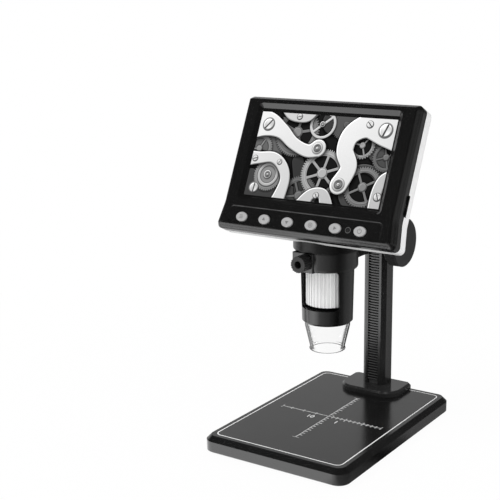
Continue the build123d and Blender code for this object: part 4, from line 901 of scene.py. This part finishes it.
# how bright glossy surfaces find the studio, by the bearing in degrees from the front to the right
studio = {
    "brightest": 1.8,
    "floor": ((-180, 0.1), (-140, 0.45), (-103, 1.1), (-68, 0.2), (-49, 1.6), (-31, 1.8), (-20, 1.4),
              (-2, 0.5), (31, 0.3), (50, 0.12), (72, 0.0), (94, 0.1), (115, 0.3), (149, 0.3), (180, 0.1)),
    "sky": ((-180, 0.25), (-149, 0.5), (-120, 0.8), (-80, 1.0), (-35, 1.2), (0, 0.6), (31, 0.4), (60, 0.3),
            (95, 0.35), (130, 0.05), (162, 0.04), (180, 0.25)),
    "skyEnds": (0.12, 0.5), "skyTilt": -0.35, "overhead": 0.03, "daylight": 0.62,
}
# the floor shows a trace of its own shade near the object; distances in metres
floorFinish = {"radius": 4.0, "level": 0.8, "roughness": 0.9, "specular": 0.1,
               "fadeDistances": (0.1, 0.45), "fadeShares": (0.96, 1.0)}
# a bright strip on the floor in front of the base: where each of its edges begins and ends, in metres
frontStrip = {"strength": 1.75, "back": (-0.06, -0.072), "front": (-0.14, -0.11), "right": (0.035, 0.055)}
lamps = {
    "key_lamp": {"place": (-0.55, -0.75, 1.1), "aim": (0.0, 0.0, 0.1), "size": 0.7, "power": 8.2},
    "fill_lamp": {"place": (1.0, -0.2, 0.7), "aim": (0.0, 0.0, 0.12), "size": 0.8, "power": 4.2},
    "rear_lamp": {"place": (-0.2, 0.9, 0.9), "aim": (0.0, 0.0, 0.12), "size": 0.8, "power": 3.6},
}
cameraView = {"place": (0.328128, -0.544883, 0.269697), "towards": (-0.50777, 0.81992, -0.26439),
              "lens": 74.83, "sensor": 36.0, "shiftRight": -0.14, "shiftUp": 0.08}


def studioGlow(tree, direction, cards):
    parts = addNode(tree, "ShaderNodeSeparateXYZ", Vector=direction)
    toFront = mathNode(tree, "MULTIPLY", parts.outputs["Y"], -1.0)
    bearing = mathNode(tree, "ARCTAN2", parts.outputs["X"], toFront)
    ramp = addNode(tree, "ShaderNodeValToRGB", Fac=spanNode(tree, bearing, -math.pi, math.pi, 0.0, 1.0))
    ramp.color_ramp.interpolation = "EASE"
    stops = ramp.color_ramp.elements
    for index, (degrees, level) in enumerate(studio[cards]):
        place = (degrees + 180) / 360
        stop = stops[index] if index < 2 else stops.new(place)
        stop.position = place
        stop.color = grey(level / studio["brightest"])
    return mathNode(tree, "MULTIPLY", ramp.outputs["Color"], studio["brightest"])


def makeFloor():
    floor = addFace(96, floorFinish["radius"])
    floor.name = "floor"
    material, tree, shader = newMaterial("paleFloor")
    shader.inputs["Base Color"].default_value = grey(floorFinish["level"])
    shader.inputs["Roughness"].default_value = floorFinish["roughness"]
    shader.inputs["Specular IOR Level"].default_value = floorFinish["specular"]
    coords = objectCoords(tree)
    path = addNode(tree, "ShaderNodeLightPath")
    # what glossy surfaces find
    outward = addNode(tree, "ShaderNodeVectorMath", operation="NORMALIZE")
    tree.links.new(coords, outward.inputs[0])
    glow = studioGlow(tree, outward.outputs["Vector"], "floor")
    parts = addNode(tree, "ShaderNodeSeparateXYZ", Vector=coords)
    back = spanNode(tree, parts.outputs["Y"], *frontStrip["back"], 0.0, frontStrip["strength"])
    right = spanNode(tree, parts.outputs["X"], *frontStrip["right"], 1.0, 0.0)
    front = spanNode(tree, parts.outputs["Y"], *frontStrip["front"], 0.0, 1.0)
    strip = mathNode(tree, "MULTIPLY", mathNode(tree, "MULTIPLY", back, right), front)
    isGlossy = path.outputs["Is Glossy Ray"]
    strength = mixNumbers(tree, isGlossy, 1.0, mathNode(tree, "MAXIMUM", glow, strip))
    # what the eye finds: white, with the fade close to the object
    away = addNode(tree, "ShaderNodeVectorMath", operation="LENGTH")
    tree.links.new(coords, away.inputs[0])
    fade = spanNode(tree, away.outputs["Value"], *floorFinish["fadeDistances"], *floorFinish["fadeShares"])
    isSeen = mathNode(tree, "MAXIMUM", path.outputs["Is Camera Ray"], path.outputs["Is Transmission Ray"])
    share = mathNode(tree, "MAXIMUM", mathNode(tree, "MULTIPLY", fade, isSeen), isGlossy)
    white = addNode(tree, "ShaderNodeEmission", Strength=strength)
    blend = addNode(tree, "ShaderNodeMixShader", Fac=share)
    tree.links.new(shader.outputs["BSDF"], blend.inputs[1])
    tree.links.new(white.outputs["Emission"], blend.inputs[2])
    tree.links.new(blend.outputs["Shader"], tree.nodes["Material Output"].inputs["Surface"])
    floor.data.materials.append(material)


def makeWorld():
    world = bpy.data.worlds.new("studio")
    bpy.context.scene.world = world
    world.use_nodes = True
    tree = world.node_tree
    background = tree.nodes["Background"]
    path = addNode(tree, "ShaderNodeLightPath")
    direction = addNode(tree, "ShaderNodeTexCoord").outputs["Generated"]
    glow = studioGlow(tree, direction, "sky")
    # the pale band over the horizon ends lower in front than behind
    parts = addNode(tree, "ShaderNodeSeparateXYZ", Vector=direction)
    height = mathNode(tree, "MULTIPLY_ADD", parts.outputs["Y"], studio["skyTilt"], parts.outputs["Z"])
    fade = spanNode(tree, height, *studio["skyEnds"], 1.0, studio["overhead"], smooth=True)
    shine = mixNumbers(tree, path.outputs["Is Glossy Ray"], studio["daylight"],
                       mathNode(tree, "MULTIPLY", glow, fade))
    isSeen = mathNode(tree, "MAXIMUM", path.outputs["Is Camera Ray"], path.outputs["Is Transmission Ray"])
    background.inputs["Color"].default_value = grey(1.0)
    tree.links.new(mixNumbers(tree, isSeen, shine, 1.0), background.inputs["Strength"])


def makeLamp(name, place, aim, size, power):
    data = bpy.data.lights.new(name, "AREA")
    data.shape = "DISK"
    data.size = size
    data.energy = power
    lamp = bpy.data.objects.new(name, data)
    bpy.context.scene.collection.objects.link(lamp)
    lamp.location = place
    lamp.rotation_euler = (Vector(aim) - Vector(place)).to_track_quat("-Z", "Y").to_euler()
    lamp.visible_glossy = False


def makeCamera():
    data = bpy.data.cameras.new("camera")
    data.lens = cameraView["lens"]
    data.sensor_width = cameraView["sensor"]
    data.shift_x = cameraView["shiftRight"]
    data.shift_y = cameraView["shiftUp"]
    camera = bpy.data.objects.new("camera", data)
    bpy.context.scene.collection.objects.link(camera)
    camera.location = cameraView["place"]
    camera.rotation_euler = Vector(cameraView["towards"]).to_track_quat("-Z", "Y").to_euler()
    bpy.context.scene.camera = camera


makeFloor()
makeWorld()
for lampName, values in lamps.items():
    makeLamp(lampName, **values)
makeCamera()
bpy.context.scene.view_settings.view_transform = "Standard"
print("floor, light and camera")
